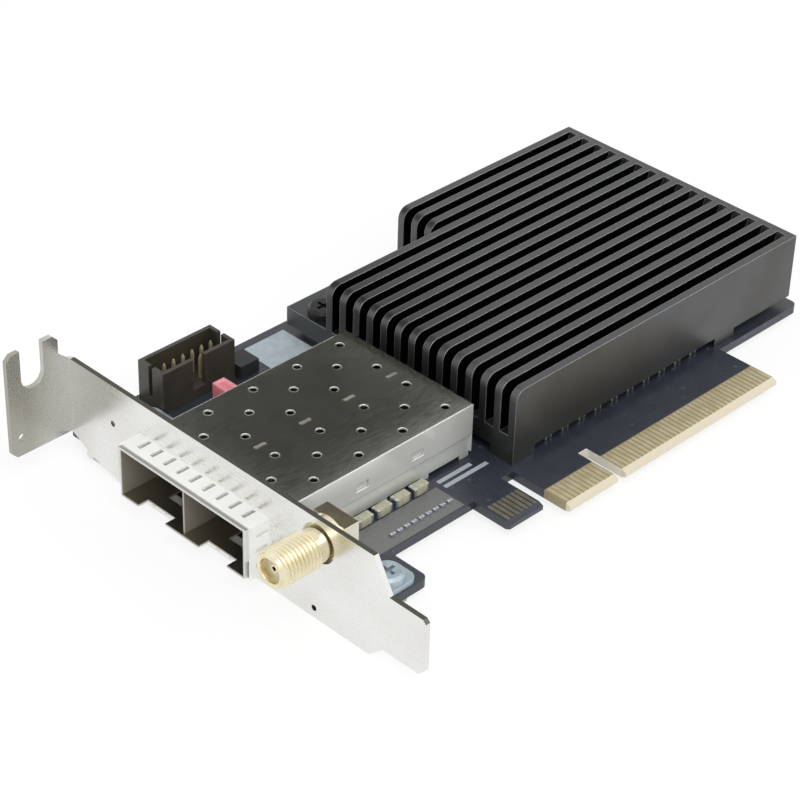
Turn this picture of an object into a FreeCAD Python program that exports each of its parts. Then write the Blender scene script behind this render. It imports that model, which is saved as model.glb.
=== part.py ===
import FreeCAD
import Part
import Sketcher
import math
import os
import re

# A two-port network adapter card: a low-profile server card that lies flat, component side up.
# All lengths are millimetres. X runs back from the bracket's outer face, Y up from the card edge
# and Z out of the board's component face. The finished card stands with the middle of its key
# notch at X = 0, so every piece is moved forward by bracket_to_key when it is placed.

SIZES = {
    # Circuit board outline
    "board_thickness": 1.57,
    "bracket_to_key": 57.15,
    "board_front": 1.9,
    "board_rear": 117.6,
    "board_top": 68.4,
    "board_heel": 12.2,
    "board_belly": 11.0,
    "board_radius": 1.2,
    "corner_bottom": 2.6,
    "corner_rear": 16.4,
    # Card edge with its key notch, and the small sideband edge in front of it
    "key_width": 1.9,
    "key_depth": 8.4,
    "key_radius": 0.8,
    "short_edge": 11.2,
    "long_edge": 38.2,
    "sideband_front": 34.8,
    "sideband_width": 7.5,
    "sideband_bottom": 3.2,
    "bevel_height": 0.9,
    "bevel_depth": 0.4,
    "contact_pitch": 1.0,
    "contact_width": 0.7,
    "contact_length": 4.4,
    "contact_thickness": 0.06,
    "contact_margin": 0.65,
    # Folded bracket
    "sheet_thickness": 0.86,
    "bracket_width": 18.42,
    "bracket_drop": 2.95,
    "bracket_length": 79.2,
    "bracket_top": 66.5,
    "bend_radius": 1.2,
    "tail_top": 9.8,
    "tail_width": 10.19,
    "tail_chamfer": 1.2,
    "neck_top_start": 2.2,
    "neck_top_end": 5.4,
    "neck_low_start": 1.4,
    "neck_low_end": 4.4,
    "shoulder_start": 52.0,
    "shoulder_knee": 61.0,
    "shoulder_rise": 2.05,
    # Tab with the open screw slot
    "tab_reach": 12.0,
    "tab_low": 1.9,
    "tab_high": 20.9,
    "tab_chamfer": 1.0,
    "slot_width": 4.42,
    "slot_middle": 7.2,
    "slot_centre": 15.7,
    "prong_width": 2.9,
    "prong_shoulder": 1.8,
    "tab_hole_radius": 0.7,
    "tab_hole_reach": 9.9,
    "tab_hole_height": 5.2,
    "pinhole_radius": 0.5,
    "high_pinhole_up": 55.5,
    "high_pinhole_height": 8.3,
    "low_pinhole_up": 10.0,
    "low_pinhole_drop": 1.2,
    # Feet that hold the bracket to the board
    "foot_reach": 14.6,
    "foot_width": 6.0,
    "foot_drop": 2.4,
    "foot_radius": 1.6,
    "lower_foot_middle": 5.9,
    "upper_foot_middle": 60.2,
    "foot_screw_reach": 11.0,
    "rivet_radius": 0.75,
    "rivet_spacing": 3.0,
    "rivet_depth": 0.9,
    # Screws and nuts
    "screw_radius": 1.45,
    "screw_head_radius": 2.7,
    "screw_head_height": 1.5,
    "screw_head_chamfer": 0.45,
    "screw_recess_length": 2.8,
    "screw_recess_width": 0.7,
    "screw_recess_depth": 0.8,
    "back_head_height": 1.2,
    "nut_radius": 3.1,
    "nut_height": 1.2,
    "hole_clearance": 0.15,
    # Two-port cage
    "cage_proud": 4.6,
    "cage_length": 47.7,
    "cage_middle": 34.2,
    "cage_floor": 0.8,
    "cage_top": 9.8,
    "cage_sheet": 0.3,
    "port_width": 13.7,
    "skirt_low": 4.0,
    "mouth_notch_width": 6.4,
    "mouth_notch_depth": 2.0,
    "latch_window": 3.0,
    "latch_window_start": 4.6,
    "vent_radius": 0.65,
    "vent_first": 11.4,
    "vent_rear_margin": 3.5,
    "vent_row": 7.65,
    "vent_row_spacing": 4.3,
    "lock_window_length": 2.6,
    "lock_window_height": 1.3,
    "lock_window_low": 5.4,
    "divider_tab_length": 1.8,
    "divider_tab_proud": 0.2,
    "divider_recess": 0.5,
    "leg_first": 6.0,
    "leg_rear_margin": 1.1,
    "leg_width": 2.0,
    "leg_pin_width": 0.7,
    "leg_pin_tail": 0.8,
    "fit_clearance": 0.2,
    # Spring collar round the cage mouth
    "collar_sheet": 0.3,
    "collar_setback": 0.6,
    "collar_behind": 0.8,
    "collar_slot_width": 0.8,
    "collar_slot_length": 2.4,
    "collar_slot_start": 1.2,
    "collar_pitch": 2.95,
    "collar_side_pitch": 2.6,
    "window_clearance": 0.15,
    # Card-edge sockets inside the cage
    "socket_rear_gap": 0.3,
    "socket_length": 9.2,
    "socket_width": 11.4,
    "socket_height": 7.0,
    "socket_slot_low": 3.4,
    "socket_slot_height": 1.8,
    "socket_slot_width": 9.4,
    "socket_slot_depth": 5.6,
    "socket_contact_pitch": 0.8,
    "socket_contact_width": 0.4,
    "socket_contact_thickness": 0.3,
    "socket_contact_length": 4.4,
    # Coaxial jack
    "coax_up": 9.2,
    "coax_out": 11.2,
    "coax_radius": 3.175,
    "coax_bore": 2.05,
    "coax_proud": 9.5,
    "coax_lead": 0.4,
    "coax_relief": 1.0,
    "coax_relief_radius": 2.85,
    "coax_flange_radius": 3.9,
    "coax_flange_thickness": 1.2,
    "coax_insulator_sink": 1.6,
    "coax_contact_radius": 0.65,
    "coax_contact_bore": 0.4,
    "coax_contact_depth": 3.0,
    "coax_contact_sink": 0.9,
    "coax_body_length": 3.2,
    "coax_body_width": 6.6,
    "coax_body_chamfer": 0.6,
    "pedestal_length": 3.0,
    "pedestal_leg": 0.8,
    # Heat sink
    "cage_to_sink": 2.6,
    "sink_rear": 116.1,
    "sink_right": 13.2,
    "sink_low": 1.8,
    "sink_floor": 5.2,
    "sink_top": 13.95,
    "sink_cleared": 26.2,
    "fin_pitch": 3.19,
    "fin_thickness": 1.4,
    "fin_nose_radius": 2.0,
    "saw_radius": 12.0,
    "rear_band": 1.2,
    "post_width": 5.0,
    "rear_post_start": 96.0,
    "sink_screw_inset": 3.2,
    "sink_screw_up": 60.0,
    "tapped_depth": 4.0,
    # Controller chip under the heat sink, with its memory
    "chip_back": 81.0,
    "chip_up": 40.0,
    "substrate_width": 31.0,
    "substrate_height": 0.6,
    "lid_width": 25.0,
    "lid_height": 0.9,
    "pad_width": 24.0,
    "memory_gap": 1.5,
    "memory_up": 33.0,
    "memory_length": 8.0,
    "memory_width": 6.0,
    "memory_height": 0.8,
    # Shrouded pin header
    "header_front": 14.8,
    "header_length": 15.4,
    "header_right": 61.1,
    "header_width": 6.1,
    "header_height": 7.8,
    "header_wall": 0.7,
    "header_floor": 2.0,
    "header_notch": 2.6,
    "header_slit": 0.9,
    "pin_pitch": 2.0,
    "pin_size": 0.5,
    "pin_tip": 6.4,
    "pin_tail": 0.9,
    "pin_clearance": 0.2,
    # Jumper with its red shunt
    "jumper_back": 22.2,
    "jumper_up": 53.7,
    "jumper_base_height": 2.0,
    "jumper_pin_size": 0.64,
    "jumper_pin_spacing": 2.54,
    "jumper_pin_tip": 5.2,
    "shunt_width": 2.5,
    "shunt_length": 5.0,
    "shunt_height": 4.0,
    # Inductor, blank label and chip capacitors on the board
    "label_gap": 1.9,
    "label_right": 54.0,
    "label_left": 66.6,
    "label_thickness": 0.1,
    "inductor_gap": 0.5,
    "inductor_right": 60.2,
    "inductor_length": 4.0,
    "inductor_width": 4.0,
    "inductor_height": 2.5,
    "small_cap_front": 19.0,
    "small_cap_right": 13.1,
    "small_cap_pitch": 1.55,
    "small_cap_length": 1.0,
    "small_cap_width": 0.5,
    "small_cap_height": 0.5,
    "large_cap_front": 16.6,
    "large_cap_gap": 0.5,
    "large_cap_pitch": 4.0,
    "large_cap_length": 3.2,
    "large_cap_width": 1.6,
    "large_cap_height": 1.6,
    "row_cap_pitch": 4.0,
    "row_cap_length": 1.6,
    "row_cap_width": 0.8,
    "row_cap_height": 0.8,
    "row_cap_inset": 1.0,
}

# How many of each repeated piece there are
SHORT_CONTACTS = 11
LONG_CONTACTS = 38
SIDEBAND_CONTACTS = 7
FIN_CHANNELS = 16
FULL_FINS = 13
PIN_COLUMNS = 7
VENT_COLUMNS = 4
CAGE_LEGS = 5
COLLAR_SLOTS = 9
COLLAR_SIDE_SLOTS = 3
LOCK_WINDOWS = 3
SOCKET_CONTACTS = 10
SMALL_CAPS = 9
LARGE_CAPS = 4
ROW_CAPS = 10

# Small round holes and rivets have few sides, to keep the facets few
RIVET_SIDES = 8
HOLE_SIDES = 12

# Formulas that several pieces share
EDGE_START = "bracket_to_key - key_width / 2 - short_edge"
KEY_START = "bracket_to_key - key_width / 2"
KEY_END = "bracket_to_key + key_width / 2"
EDGE_END = "bracket_to_key + key_width / 2 + long_edge"
SIDEBAND_REAR = "sideband_front + sideband_width"
BRACKET_HIGH = "bracket_width - bracket_drop"
TAIL_END = "bracket_top - bracket_length"
TAIL_LOW = "tail_top - tail_width"
CAGE_FRONT = "-cage_proud"
CAGE_REAR = "cage_length - cage_proud"
BASE_RIGHT = "cage_middle - port_width - 1.5 * cage_sheet"
BASE_LEFT = "cage_middle + port_width + 1.5 * cage_sheet"
COVER_RIGHT = "cage_middle - port_width - 2.5 * cage_sheet"
COVER_LEFT = "cage_middle + port_width + 2.5 * cage_sheet"
FLOOR_TOP = "cage_floor + cage_sheet"
LID_LOW = "cage_top - cage_sheet"
PORT_OFFSET = "(port_width + cage_sheet) / 2"
LEG_PITCH = f"({CAGE_REAR} - leg_rear_margin - leg_first) / {CAGE_LEGS - 1}"
VENT_PITCH = f"({CAGE_REAR} - vent_rear_margin - vent_first) / {VENT_COLUMNS - 1}"
SOCKET_FRONT = f"{CAGE_REAR} - socket_rear_gap - socket_length"
COLLAR_FRONT = "collar_setback - cage_proud"
COLLAR_REAR = "sheet_thickness + collar_behind"
COAX_BACK = "sheet_thickness + coax_flange_thickness"
COAX_LOW = "coax_out - coax_body_width / 2"
PEDESTAL_RIGHT = "lower_foot_middle + foot_width / 2 + fit_clearance"
PEDESTAL_LEFT = "coax_up + coax_body_width / 2"
SINK_FRONT = f"{CAGE_REAR} + cage_sheet + cage_to_sink"
SINK_STEP = f"{SINK_FRONT} + sink_cleared"
SINK_SCREW_BACK = f"{SINK_FRONT} + sink_screw_inset"
SINK_LEFT = f"sink_right + {FIN_CHANNELS} * fin_pitch + fin_thickness"
FULL_LEFT = f"sink_right + {FULL_FINS} * fin_pitch + fin_thickness"
SINK_WIDTH = f"{FIN_CHANNELS} * fin_pitch + fin_thickness"
BOARD_BACK = "-board_thickness"

doc = FreeCAD.newDocument("adapter_card")
sheet = doc.addObject("Spreadsheet::Sheet", "sizes")
for row, (alias, number) in enumerate(SIZES.items(), 1):
    sheet.set(f"A{row}", alias)
    sheet.set(f"B{row}", str(number))
    sheet.setAlias(f"B{row}", alias)
doc.recompute()

pieces = []


def formula(text):
    """Write a formula of the named sizes as the document reads it."""
    return re.sub(r"[a-z][a-z_]+", lambda word: f"sizes.{word[0]}" if word[0] in SIZES else word[0], text)


def value(text):
    """Work out a formula with the sizes as they are now."""
    return float(sheet.evalExpression(text))


def keep(item, label):
    """Name a finished piece and list it for writing."""
    item.Label = label
    pieces.append(item)
    return item


def place(item, position):
    """Stand an item at a point given by three formulas, with the key notch at X = 0."""
    back, up, out = position
    item.setExpression("Placement.Base.x", formula(f"{back} - bracket_to_key"))
    item.setExpression("Placement.Base.y", formula(up))
    item.setExpression("Placement.Base.z", formula(out))
    return item


def new_body(name, position=("0", "0", "0")):
    """An empty body in its place on the card."""
    return place(doc.addObject("PartDesign::Body", name), position)


def origin_feature(body, role):
    """A plane or axis of a body's own origin."""
    return next(item for item in body.Origin.OriginFeatures if item.Role == role)


def new_sketch(body, plane, height):
    """A sketch on one of the body's planes, moved along the axis it faces by a formula."""
    sketch = body.newObject("Sketcher::SketchObject", f"{body.Name}_outline")
    sketch.AttachmentSupport = [(origin_feature(body, f"{plane}_Plane"), "")]
    sketch.MapMode = "FlatFace"
    sign = "-" if plane == "XZ" else ""
    sketch.setExpression("AttachmentOffset.Base.z", formula(f"{sign}({height})"))
    return sketch


def constrain(sketch, rules):
    """Add constraints to a sketch in one go, each with the formula that its number is tied to."""
    numbers = sketch.addConstraint([rule for rule, _ in rules])
    for number, (_, text) in zip(numbers, rules):
        if text:
            sketch.setExpression(f"Constraints[{number}]", formula(text))


def held(edge, end, across, up):
    """The two rules that hold an end or centre of an edge at formulas from the sketch's origin."""
    return [(Sketcher.Constraint("DistanceX", -1, 1, edge, end, value(across)), across),
            (Sketcher.Constraint("DistanceY", -1, 1, edge, end, value(up)), up)]


def arc_between(start, end, radius, turn):
    """The shorter arc from start to end, anticlockwise for a turn of 1 and clockwise for -1."""
    chord = end - start
    sagitta_side = math.sqrt(max(radius ** 2 - (chord.Length / 2) ** 2, 0.0))
    normal = FreeCAD.Vector(-chord.y, chord.x, 0).normalize()
    centre = (start + end) * 0.5 + normal * (turn * sagitta_side)
    first, last = (start, end) if turn > 0 else (end, start)
    angles = [math.atan2(point.y - centre.y, point.x - centre.x) for point in (first, last)]
    return Part.ArcOfCircle(Part.Circle(centre, FreeCAD.Vector(0, 0, 1), radius), *angles)


def loop(sketch, corners):
    """Close a loop through corners, each (across, up), or (across, up, radius, turn) before an arc."""
    points = [FreeCAD.Vector(value(corner[0]), value(corner[1]), 0) for corner in corners]
    curves = []
    for number, corner in enumerate(corners):
        start = points[number]
        end = points[(number + 1) % len(points)]
        if len(corner) == 2:
            curves.append(Part.LineSegment(start, end))
        else:
            curves.append(arc_between(start, end, value(corner[2]), corner[3]))
    edges = sketch.addGeometry(curves, False)
    ends = [(2, 1) if len(corner) > 2 and corner[3] < 0 else (1, 2) for corner in corners]
    rules = []
    for number, corner in enumerate(corners):
        following = (number + 1) % len(edges)
        first, last = ends[number]
        join = Sketcher.Constraint("Coincident", edges[number], last, edges[following], ends[following][0])
        rules.append((join, None))
        rules += held(edges[number], first, corner[0], corner[1])
        if len(corner) > 2:
            radius = corner[2]
            rules.append((Sketcher.Constraint("Radius", edges[number], value(radius)), radius))
    constrain(sketch, rules)


def rectangle(sketch, low, high):
    """A rectangular loop between two corners."""
    loop(sketch, [low, (high[0], low[1]), high, (low[0], high[1])])


def circle(sketch, across, up, radius):
    """A circle held by its centre and radius."""
    centre = FreeCAD.Vector(value(across), value(up), 0)
    edge = sketch.addGeometry(Part.Circle(centre, FreeCAD.Vector(0, 0, 1), value(radius)), False)
    rules = held(edge, 3, across, up)
    rules.append((Sketcher.Constraint("Radius", edge, value(radius)), radius))
    constrain(sketch, rules)


def corner_reach(sides):
    """How far out the corners of a regular outline are when its sides touch a radius of one."""
    return 1 / math.cos(math.pi / sides)


def small_round(sketch, across, up, radius, sides):
    """A small round drawn with a few straight sides that all touch the radius."""
    reach = corner_reach(sides)
    corners = []
    for number in range(sides):
        angle = 2 * math.pi * (number + 0.5) / sides
        corners.append((f"{across} + {reach * math.cos(angle):.6f} * ({radius})",
                        f"{up} + {reach * math.sin(angle):.6f} * ({radius})"))
    loop(sketch, corners)


def extrude(body, kind, sketch, length, reverse=False):
    """Pad or pocket a sketch by a formula's length."""
    feature = body.newObject(f"PartDesign::{kind}", f"{body.Name}_{kind.lower()}")
    feature.Profile = sketch
    feature.setExpression("Length", formula(length))
    feature.Reversed = reverse
    return feature


def pad_up(body, plane, start, length, draw):
    """Pad what draw puts on a sketch, towards the plane's positive axis."""
    sketch = new_sketch(body, plane, start)
    draw(sketch)
    return extrude(body, "Pad", sketch, length, reverse=plane == "XZ")


def cut_up(body, plane, start, length, draw):
    """Cut what draw puts on a sketch, from start towards the plane's positive axis."""
    sketch = new_sketch(body, plane, start)
    draw(sketch)
    return extrude(body, "Pocket", sketch, length, reverse=plane != "XZ")


def repeat(body, feature, axis, count, pitch):
    """Repeat a feature of a body along one of its axes."""
    pattern = body.newObject("PartDesign::LinearPattern", f"{body.Name}_row")
    pattern.Originals = [feature]
    pattern.Direction = (origin_feature(body, f"{axis}_Axis"), [""])
    pattern.setExpression("Length", formula(f"{count - 1} * ({pitch})"))
    pattern.Occurrences = count
    body.Tip = pattern


def round_edges(body, radius, tests):
    """Round the edges of a body's tip whose ends both pass one of the tests."""
    doc.recompute()
    base = body.Tip
    names = []
    for number, edge in enumerate(base.Shape.Edges, 1):
        ends = [vertex.Point for vertex in edge.Vertexes]
        if any(all(test(point) for point in ends) for test in tests):
            names.append(f"Edge{number}")
    fillet = body.newObject("PartDesign::Fillet", f"{body.Name}_fillet")
    fillet.Base = (base, names)
    fillet.setExpression("Radius", formula(radius))
    return fillet


def near(point, **targets):
    """Whether a point's named coordinates lie at the given formulas."""
    return all(abs(getattr(point, axis) - value(text)) < 0.01 for axis, text in targets.items())


def upright_at(*corners):
    """Tests for the upright edges at the given corners."""
    return [lambda point, back=back, up=up: near(point, x=back, y=up) for back, up in corners]


def block(name, low, high):
    """A plain box between two corners."""
    box = doc.addObject("Part::Box", name)
    for side, first, last in zip(("Length", "Width", "Height"), low, high):
        box.setExpression(side, formula(f"({last}) - ({first})"))
    return place(box, low)


def group(name, members):
    """Several like solids as one piece."""
    compound = doc.addObject("Part::Compound", name)
    compound.Links = members
    return compound


def turned(name, position, plane_axis, profile):
    """A body turned from a half profile about its own X axis (H) or Z axis (V)."""
    body = new_body(name, position)
    sketch = new_sketch(body, "XZ", "0")
    loop(sketch, profile)
    feature = body.newObject("PartDesign::Revolution", f"{name}_turning")
    feature.Profile = sketch
    feature.ReferenceAxis = (sketch, [f"{plane_axis}_Axis"])
    feature.Angle = 360
    return body


def middles(count, middle, pitch):
    """Formulas for a row of like pieces about a middle."""
    return [f"{middle} + ({number - (count - 1) / 2}) * {pitch}" for number in range(count)]


def row_from(count, first, pitch):
    """Formulas for a row of like pieces that starts at a place."""
    return [f"{first} + {number} * {pitch}" for number in range(count)]


def port_middles():
    """The middle of the upper and the lower port."""
    return {"upper": f"cage_middle + {PORT_OFFSET}", "lower": f"cage_middle - {PORT_OFFSET}"}


def foot_middles():
    """The middle of the upper and the lower foot."""
    return {"upper": "upper_foot_middle", "lower": "lower_foot_middle"}


def header_pin_places():
    """The middle of each header pin."""
    backs = middles(PIN_COLUMNS, "header_front + header_length / 2", "pin_pitch")
    ups = middles(2, "header_right + header_width / 2", "pin_pitch")
    return [(back, up) for back in backs for up in ups]


def jumper_pin_places():
    """The middle of each jumper pin."""
    return [("jumper_back", up) for up in middles(2, "jumper_up", "jumper_pin_spacing")]


def cage_leg_places():
    """The middle of each leg under the cage's two side walls."""
    backs = row_from(CAGE_LEGS, "leg_first", LEG_PITCH)
    sides = [f"{BASE_RIGHT} + cage_sheet / 2", f"{BASE_LEFT} - cage_sheet / 2"]
    return [(back, side) for back in backs for side in sides]


def pedestal_leg_places():
    """The middle of each leg under the jack's pedestal."""
    backs = [f"{COAX_BACK} + pedestal_leg", f"{COAX_BACK} + pedestal_length - pedestal_leg"]
    return [(back, f"({PEDESTAL_RIGHT} + {PEDESTAL_LEFT}) / 2") for back in backs]


def tapped_post_places():
    """The middle of the three heat-sink posts that are screwed from the solder side."""
    return [
        (f"{SINK_FRONT} + post_width / 2", "sink_right + post_width / 2"),
        ("rear_post_start + post_width / 2", "sink_right + post_width / 2"),
        ("sink_rear - post_width / 2", f"{SINK_LEFT} - post_width / 2"),
    ]


def through_screw_places():
    """The middle of each screw that goes down through the board into a nut."""
    feet = [("foot_screw_reach", up) for up in foot_middles().values()]
    return feet + [(SINK_SCREW_BACK, "sink_screw_up")]


def square_hole(sketch, place_pair, across, up):
    """A rectangular hole about a middle."""
    back, side = place_pair
    low = (f"{back} - ({across}) / 2", f"{side} - ({up}) / 2")
    high = (f"{back} + ({across}) / 2", f"{side} + ({up}) / 2")
    rectangle(sketch, low, high)


def make_board():
    """The board with its card edge, key notch, sideband edge, mounting corner and holes."""
    body = new_body("circuit_board")
    outline = [
        ("board_front", "corner_bottom"),
        ("corner_rear", "corner_bottom"),
        ("corner_rear", "board_belly"),
        ("sideband_front", "board_belly"),
        ("sideband_front", "sideband_bottom"),
        (SIDEBAND_REAR, "sideband_bottom"),
        (SIDEBAND_REAR, "board_heel"),
        (EDGE_START, "board_heel"),
        (EDGE_START, "0"),
        (KEY_START, "0"),
        (KEY_START, "key_depth"),
        (KEY_END, "key_depth"),
        (KEY_END, "0"),
        (EDGE_END, "0"),
        (EDGE_END, "board_heel"),
        ("board_rear", "board_heel"),
        ("board_rear", "board_top"),
        ("board_front", "board_top"),
    ]
    pad_up(body, "XY", BOARD_BACK, "board_thickness", lambda sketch: loop(sketch, outline))

    def bevels(bottom):
        """Two triangles that take the board's faces down to a blunt edge."""
        def draw(sketch):
            for face, depth in (("0", "-bevel_depth"), (BOARD_BACK, "bevel_depth - board_thickness")):
                loop(sketch, [(bottom, face), (f"{bottom} + bevel_height", face), (bottom, depth)])
        return draw

    cut_up(body, "YZ", EDGE_START, f"{EDGE_END} - ({EDGE_START})", bevels("0"))
    cut_up(body, "YZ", "sideband_front", "sideband_width", bevels("sideband_bottom"))

    def screw_holes(places):
        """Holes for a set of screws."""
        def draw(sketch):
            for back, up in places:
                small_round(sketch, back, up, "screw_radius + hole_clearance", HOLE_SIDES)
        return draw

    def pin_holes(places, across, up):
        """Oblong holes for a set of pins, with room round each pin."""
        def draw(sketch):
            for middle in places:
                square_hole(sketch, middle, f"{across} + pin_clearance", f"{up} + pin_clearance")
        return draw

    hole_sets = [
        screw_holes(through_screw_places()),
        screw_holes(tapped_post_places()),
        pin_holes(header_pin_places(), "pin_size", "pin_size"),
        pin_holes(jumper_pin_places(), "jumper_pin_size", "jumper_pin_size"),
        pin_holes(cage_leg_places(), "leg_pin_width", "cage_sheet"),
        pin_holes(pedestal_leg_places(), "pedestal_leg", "pedestal_leg"),
    ]
    for hole_set in hole_sets:
        cut_up(body, "XY", BOARD_BACK, "board_thickness", hole_set)
    corners = upright_at(("board_rear", "board_heel"), ("board_rear", "board_top"),
                         ("corner_rear", "corner_bottom"), ("corner_rear", "board_belly"))
    round_edges(body, "board_radius", corners)
    round_edges(body, "key_radius", upright_at((KEY_START, "key_depth"), (KEY_END, "key_depth")))
    keep(body, "circuit_board")


def make_contacts():
    """Gold fingers on both faces of the card edge and of the sideband edge."""
    edge_fronts = row_from(SHORT_CONTACTS, f"{EDGE_START} + contact_margin", "contact_pitch")
    edge_fronts += row_from(LONG_CONTACTS, f"{KEY_END} + contact_margin", "contact_pitch")
    side_middle = "sideband_front + sideband_width / 2"
    side_fronts = middles(SIDEBAND_CONTACTS, side_middle, "contact_pitch")
    faces = {"upper": ("0", "contact_thickness"),
             "lower": (f"{BOARD_BACK} - contact_thickness", BOARD_BACK)}
    rows = {"edge": (edge_fronts, "0"), "sideband": (side_fronts, "sideband_bottom")}
    for row_name, (fronts, bottom) in rows.items():
        for face_name, (low, high) in faces.items():
            name = f"{row_name}_contacts_{face_name}"
            fingers = []
            for middle in fronts:
                first = (f"{middle} - contact_width / 2", f"{bottom} + bevel_height", low)
                last = (f"{middle} + contact_width / 2", f"{bottom} + bevel_height + contact_length", high)
                fingers.append(block(f"{name}_finger", first, last))
            keep(group(name, fingers), name)


def make_bracket():
    """The folded sheet: face plate, tapered tail and tab with its open screw slot."""
    body = new_body("bracket_blank")
    face = [
        ("bracket_top", "tab_low"),
        ("bracket_top", BRACKET_HIGH),
        ("-neck_top_start", BRACKET_HIGH),
        ("-neck_top_end", "tail_top"),
        (f"{TAIL_END} + tail_chamfer / 2", "tail_top"),
        (TAIL_END, "tail_top - tail_chamfer / 2"),
        (TAIL_END, f"{TAIL_LOW} + tail_chamfer"),
        (f"{TAIL_END} + tail_chamfer", TAIL_LOW),
        ("-neck_low_end", TAIL_LOW),
        ("-neck_low_start", "-bracket_drop"),
        ("shoulder_start", "-bracket_drop"),
        ("shoulder_knee", "shoulder_rise - bracket_drop"),
    ]
    pad_up(body, "YZ", "0", "sheet_thickness", lambda sketch: loop(sketch, face))
    slot_near = "slot_width / 2 - slot_middle"
    slot_far = "-slot_width / 2 - slot_middle"
    prong_side = f"{slot_near} + prong_width"
    tab = [
        ("sheet_thickness", "tab_low"),
        ("sheet_thickness", BRACKET_HIGH),
        ("0", BRACKET_HIGH),
        (prong_side, f"{BRACKET_HIGH} + prong_shoulder"),
        (prong_side, "tab_high - tab_chamfer"),
        (f"{prong_side} - tab_chamfer", "tab_high"),
        (slot_near, "tab_high"),
        (slot_near, "slot_centre", "slot_width / 2", -1),
        ("-slot_middle", "slot_centre - slot_width / 2", "slot_width / 2", -1),
        (slot_far, "slot_centre"),
        (slot_far, "tab_high"),
        ("tab_chamfer - tab_reach", "tab_high"),
        ("-tab_reach", "tab_high - tab_chamfer"),
        ("-tab_reach", "tab_low + tab_chamfer"),
        ("tab_chamfer - tab_reach", "tab_low"),
    ]
    tab_under = "bracket_top - sheet_thickness"
    pad_up(body, "XZ", tab_under, "sheet_thickness", lambda sketch: loop(sketch, tab))

    def face_openings(sketch):
        """The cage window, the jack's hole, the rivet holes and two pinholes."""
        gap = "collar_sheet + window_clearance"
        rectangle(sketch, (f"{COVER_RIGHT} - ({gap})", f"cage_floor - ({gap})"),
                  (f"{COVER_LEFT} + {gap}", f"cage_top + {gap}"))
        circle(sketch, "coax_up", "coax_out", "coax_radius + hole_clearance")
        small_round(sketch, "high_pinhole_up", "high_pinhole_height", "pinhole_radius", RIVET_SIDES)
        small_round(sketch, "low_pinhole_up", "-low_pinhole_drop", "pinhole_radius", RIVET_SIDES)
        for middle in foot_middles().values():
            for up in middles(2, middle, "rivet_spacing"):
                rivet_outline(sketch, up)

    def tab_opening(sketch):
        """The small hole near the tab's corner."""
        small_round(sketch, "-tab_hole_reach", "tab_hole_height", "tab_hole_radius", HOLE_SIDES)

    cut_up(body, "YZ", "0", "sheet_thickness", face_openings)
    cut_up(body, "XZ", tab_under, "sheet_thickness", tab_opening)

    fold = new_body("bracket_fold")
    bend_back = "sheet_thickness - bend_radius"
    bend_up = "bracket_top - bend_radius"
    section = [
        ("0", TAIL_END),
        ("sheet_thickness", TAIL_END),
        ("sheet_thickness", bend_up, "bend_radius", 1),
        (bend_back, "bracket_top"),
        ("-tab_reach", "bracket_top"),
        ("-tab_reach", tab_under),
        (bend_back, tab_under, "bend_radius - sheet_thickness", -1),
        ("0", bend_up),
    ]
    pad_up(fold, "XY", "-bracket_drop", "bracket_drop + tab_high", lambda sketch: loop(sketch, section))
    bracket = doc.addObject("Part::Common", "io_bracket")
    bracket.Base = fold
    bracket.Tool = body
    keep(bracket, "io_bracket")


def rivet_outline(sketch, up):
    """One rivet's outline on the bracket's face plate."""
    small_round(sketch, up, "-rivet_depth", "rivet_radius", RIVET_SIDES)


def make_feet():
    """Two folded feet on the board, with the flush rivets that hold them to the bracket."""
    rivets = []
    for side, middle in foot_middles().items():
        right = f"{middle} - foot_width / 2"
        left = f"{middle} + foot_width / 2"
        body = new_body(f"{side}_foot")
        section = [
            ("sheet_thickness", "-foot_drop"),
            ("2 * sheet_thickness", "-foot_drop"),
            ("2 * sheet_thickness", "0"),
            ("foot_reach", "0"),
            ("foot_reach", "sheet_thickness"),
            ("sheet_thickness", "sheet_thickness"),
        ]
        pad_up(body, "XZ", right, "foot_width", lambda sketch: loop(sketch, section))
        hole = ("foot_screw_reach", middle, "screw_radius + hole_clearance", HOLE_SIDES)
        cut_up(body, "XY", "0", "sheet_thickness", lambda sketch: small_round(sketch, *hole))
        ups = middles(2, middle, "rivet_spacing")

        def rivet_holes(sketch):
            """The two rivet holes in this foot's flange."""
            for up in ups:
                rivet_outline(sketch, up)

        cut_up(body, "YZ", "sheet_thickness", "sheet_thickness", rivet_holes)
        round_edges(body, "foot_radius", upright_at(("foot_reach", right), ("foot_reach", left)))
        keep(body, f"{side}_foot")
        for up in ups:
            rivet = new_body("rivet")
            pad_up(rivet, "YZ", "0", "2 * sheet_thickness", lambda sketch: rivet_outline(sketch, up))
            rivets.append(rivet)
    keep(group("foot_rivets", rivets), "foot_rivets")


def cross_screw(name, position, head_low, shank_end):
    """A pan-head screw with a cross recess, from the end of its shank to its head."""
    head_high = f"{head_low} + screw_head_height"
    profile = [
        ("0", shank_end),
        ("screw_radius", shank_end),
        ("screw_radius", head_low),
        ("screw_head_radius", head_low),
        ("screw_head_radius", f"{head_high} - screw_head_chamfer"),
        ("screw_head_radius - screw_head_chamfer", head_high),
        ("0", head_high),
    ]
    body = turned(name, position, "V", profile)
    near_side = "screw_recess_width / 2"
    far_side = "screw_recess_length / 2"
    cross = [
        (far_side, near_side), (near_side, near_side), (near_side, far_side),
        (f"-{near_side}", far_side), (f"-{near_side}", near_side), (f"-{far_side}", near_side),
        (f"-{far_side}", f"-{near_side}"), (f"-{near_side}", f"-{near_side}"),
        (f"-{near_side}", f"-{far_side}"), (near_side, f"-{far_side}"),
        (near_side, f"-{near_side}"), (far_side, f"-{near_side}"),
    ]
    recess = f"{head_high} - screw_recess_depth"
    cut_up(body, "XY", recess, "screw_recess_depth", lambda sketch: loop(sketch, cross))
    return body


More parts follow.
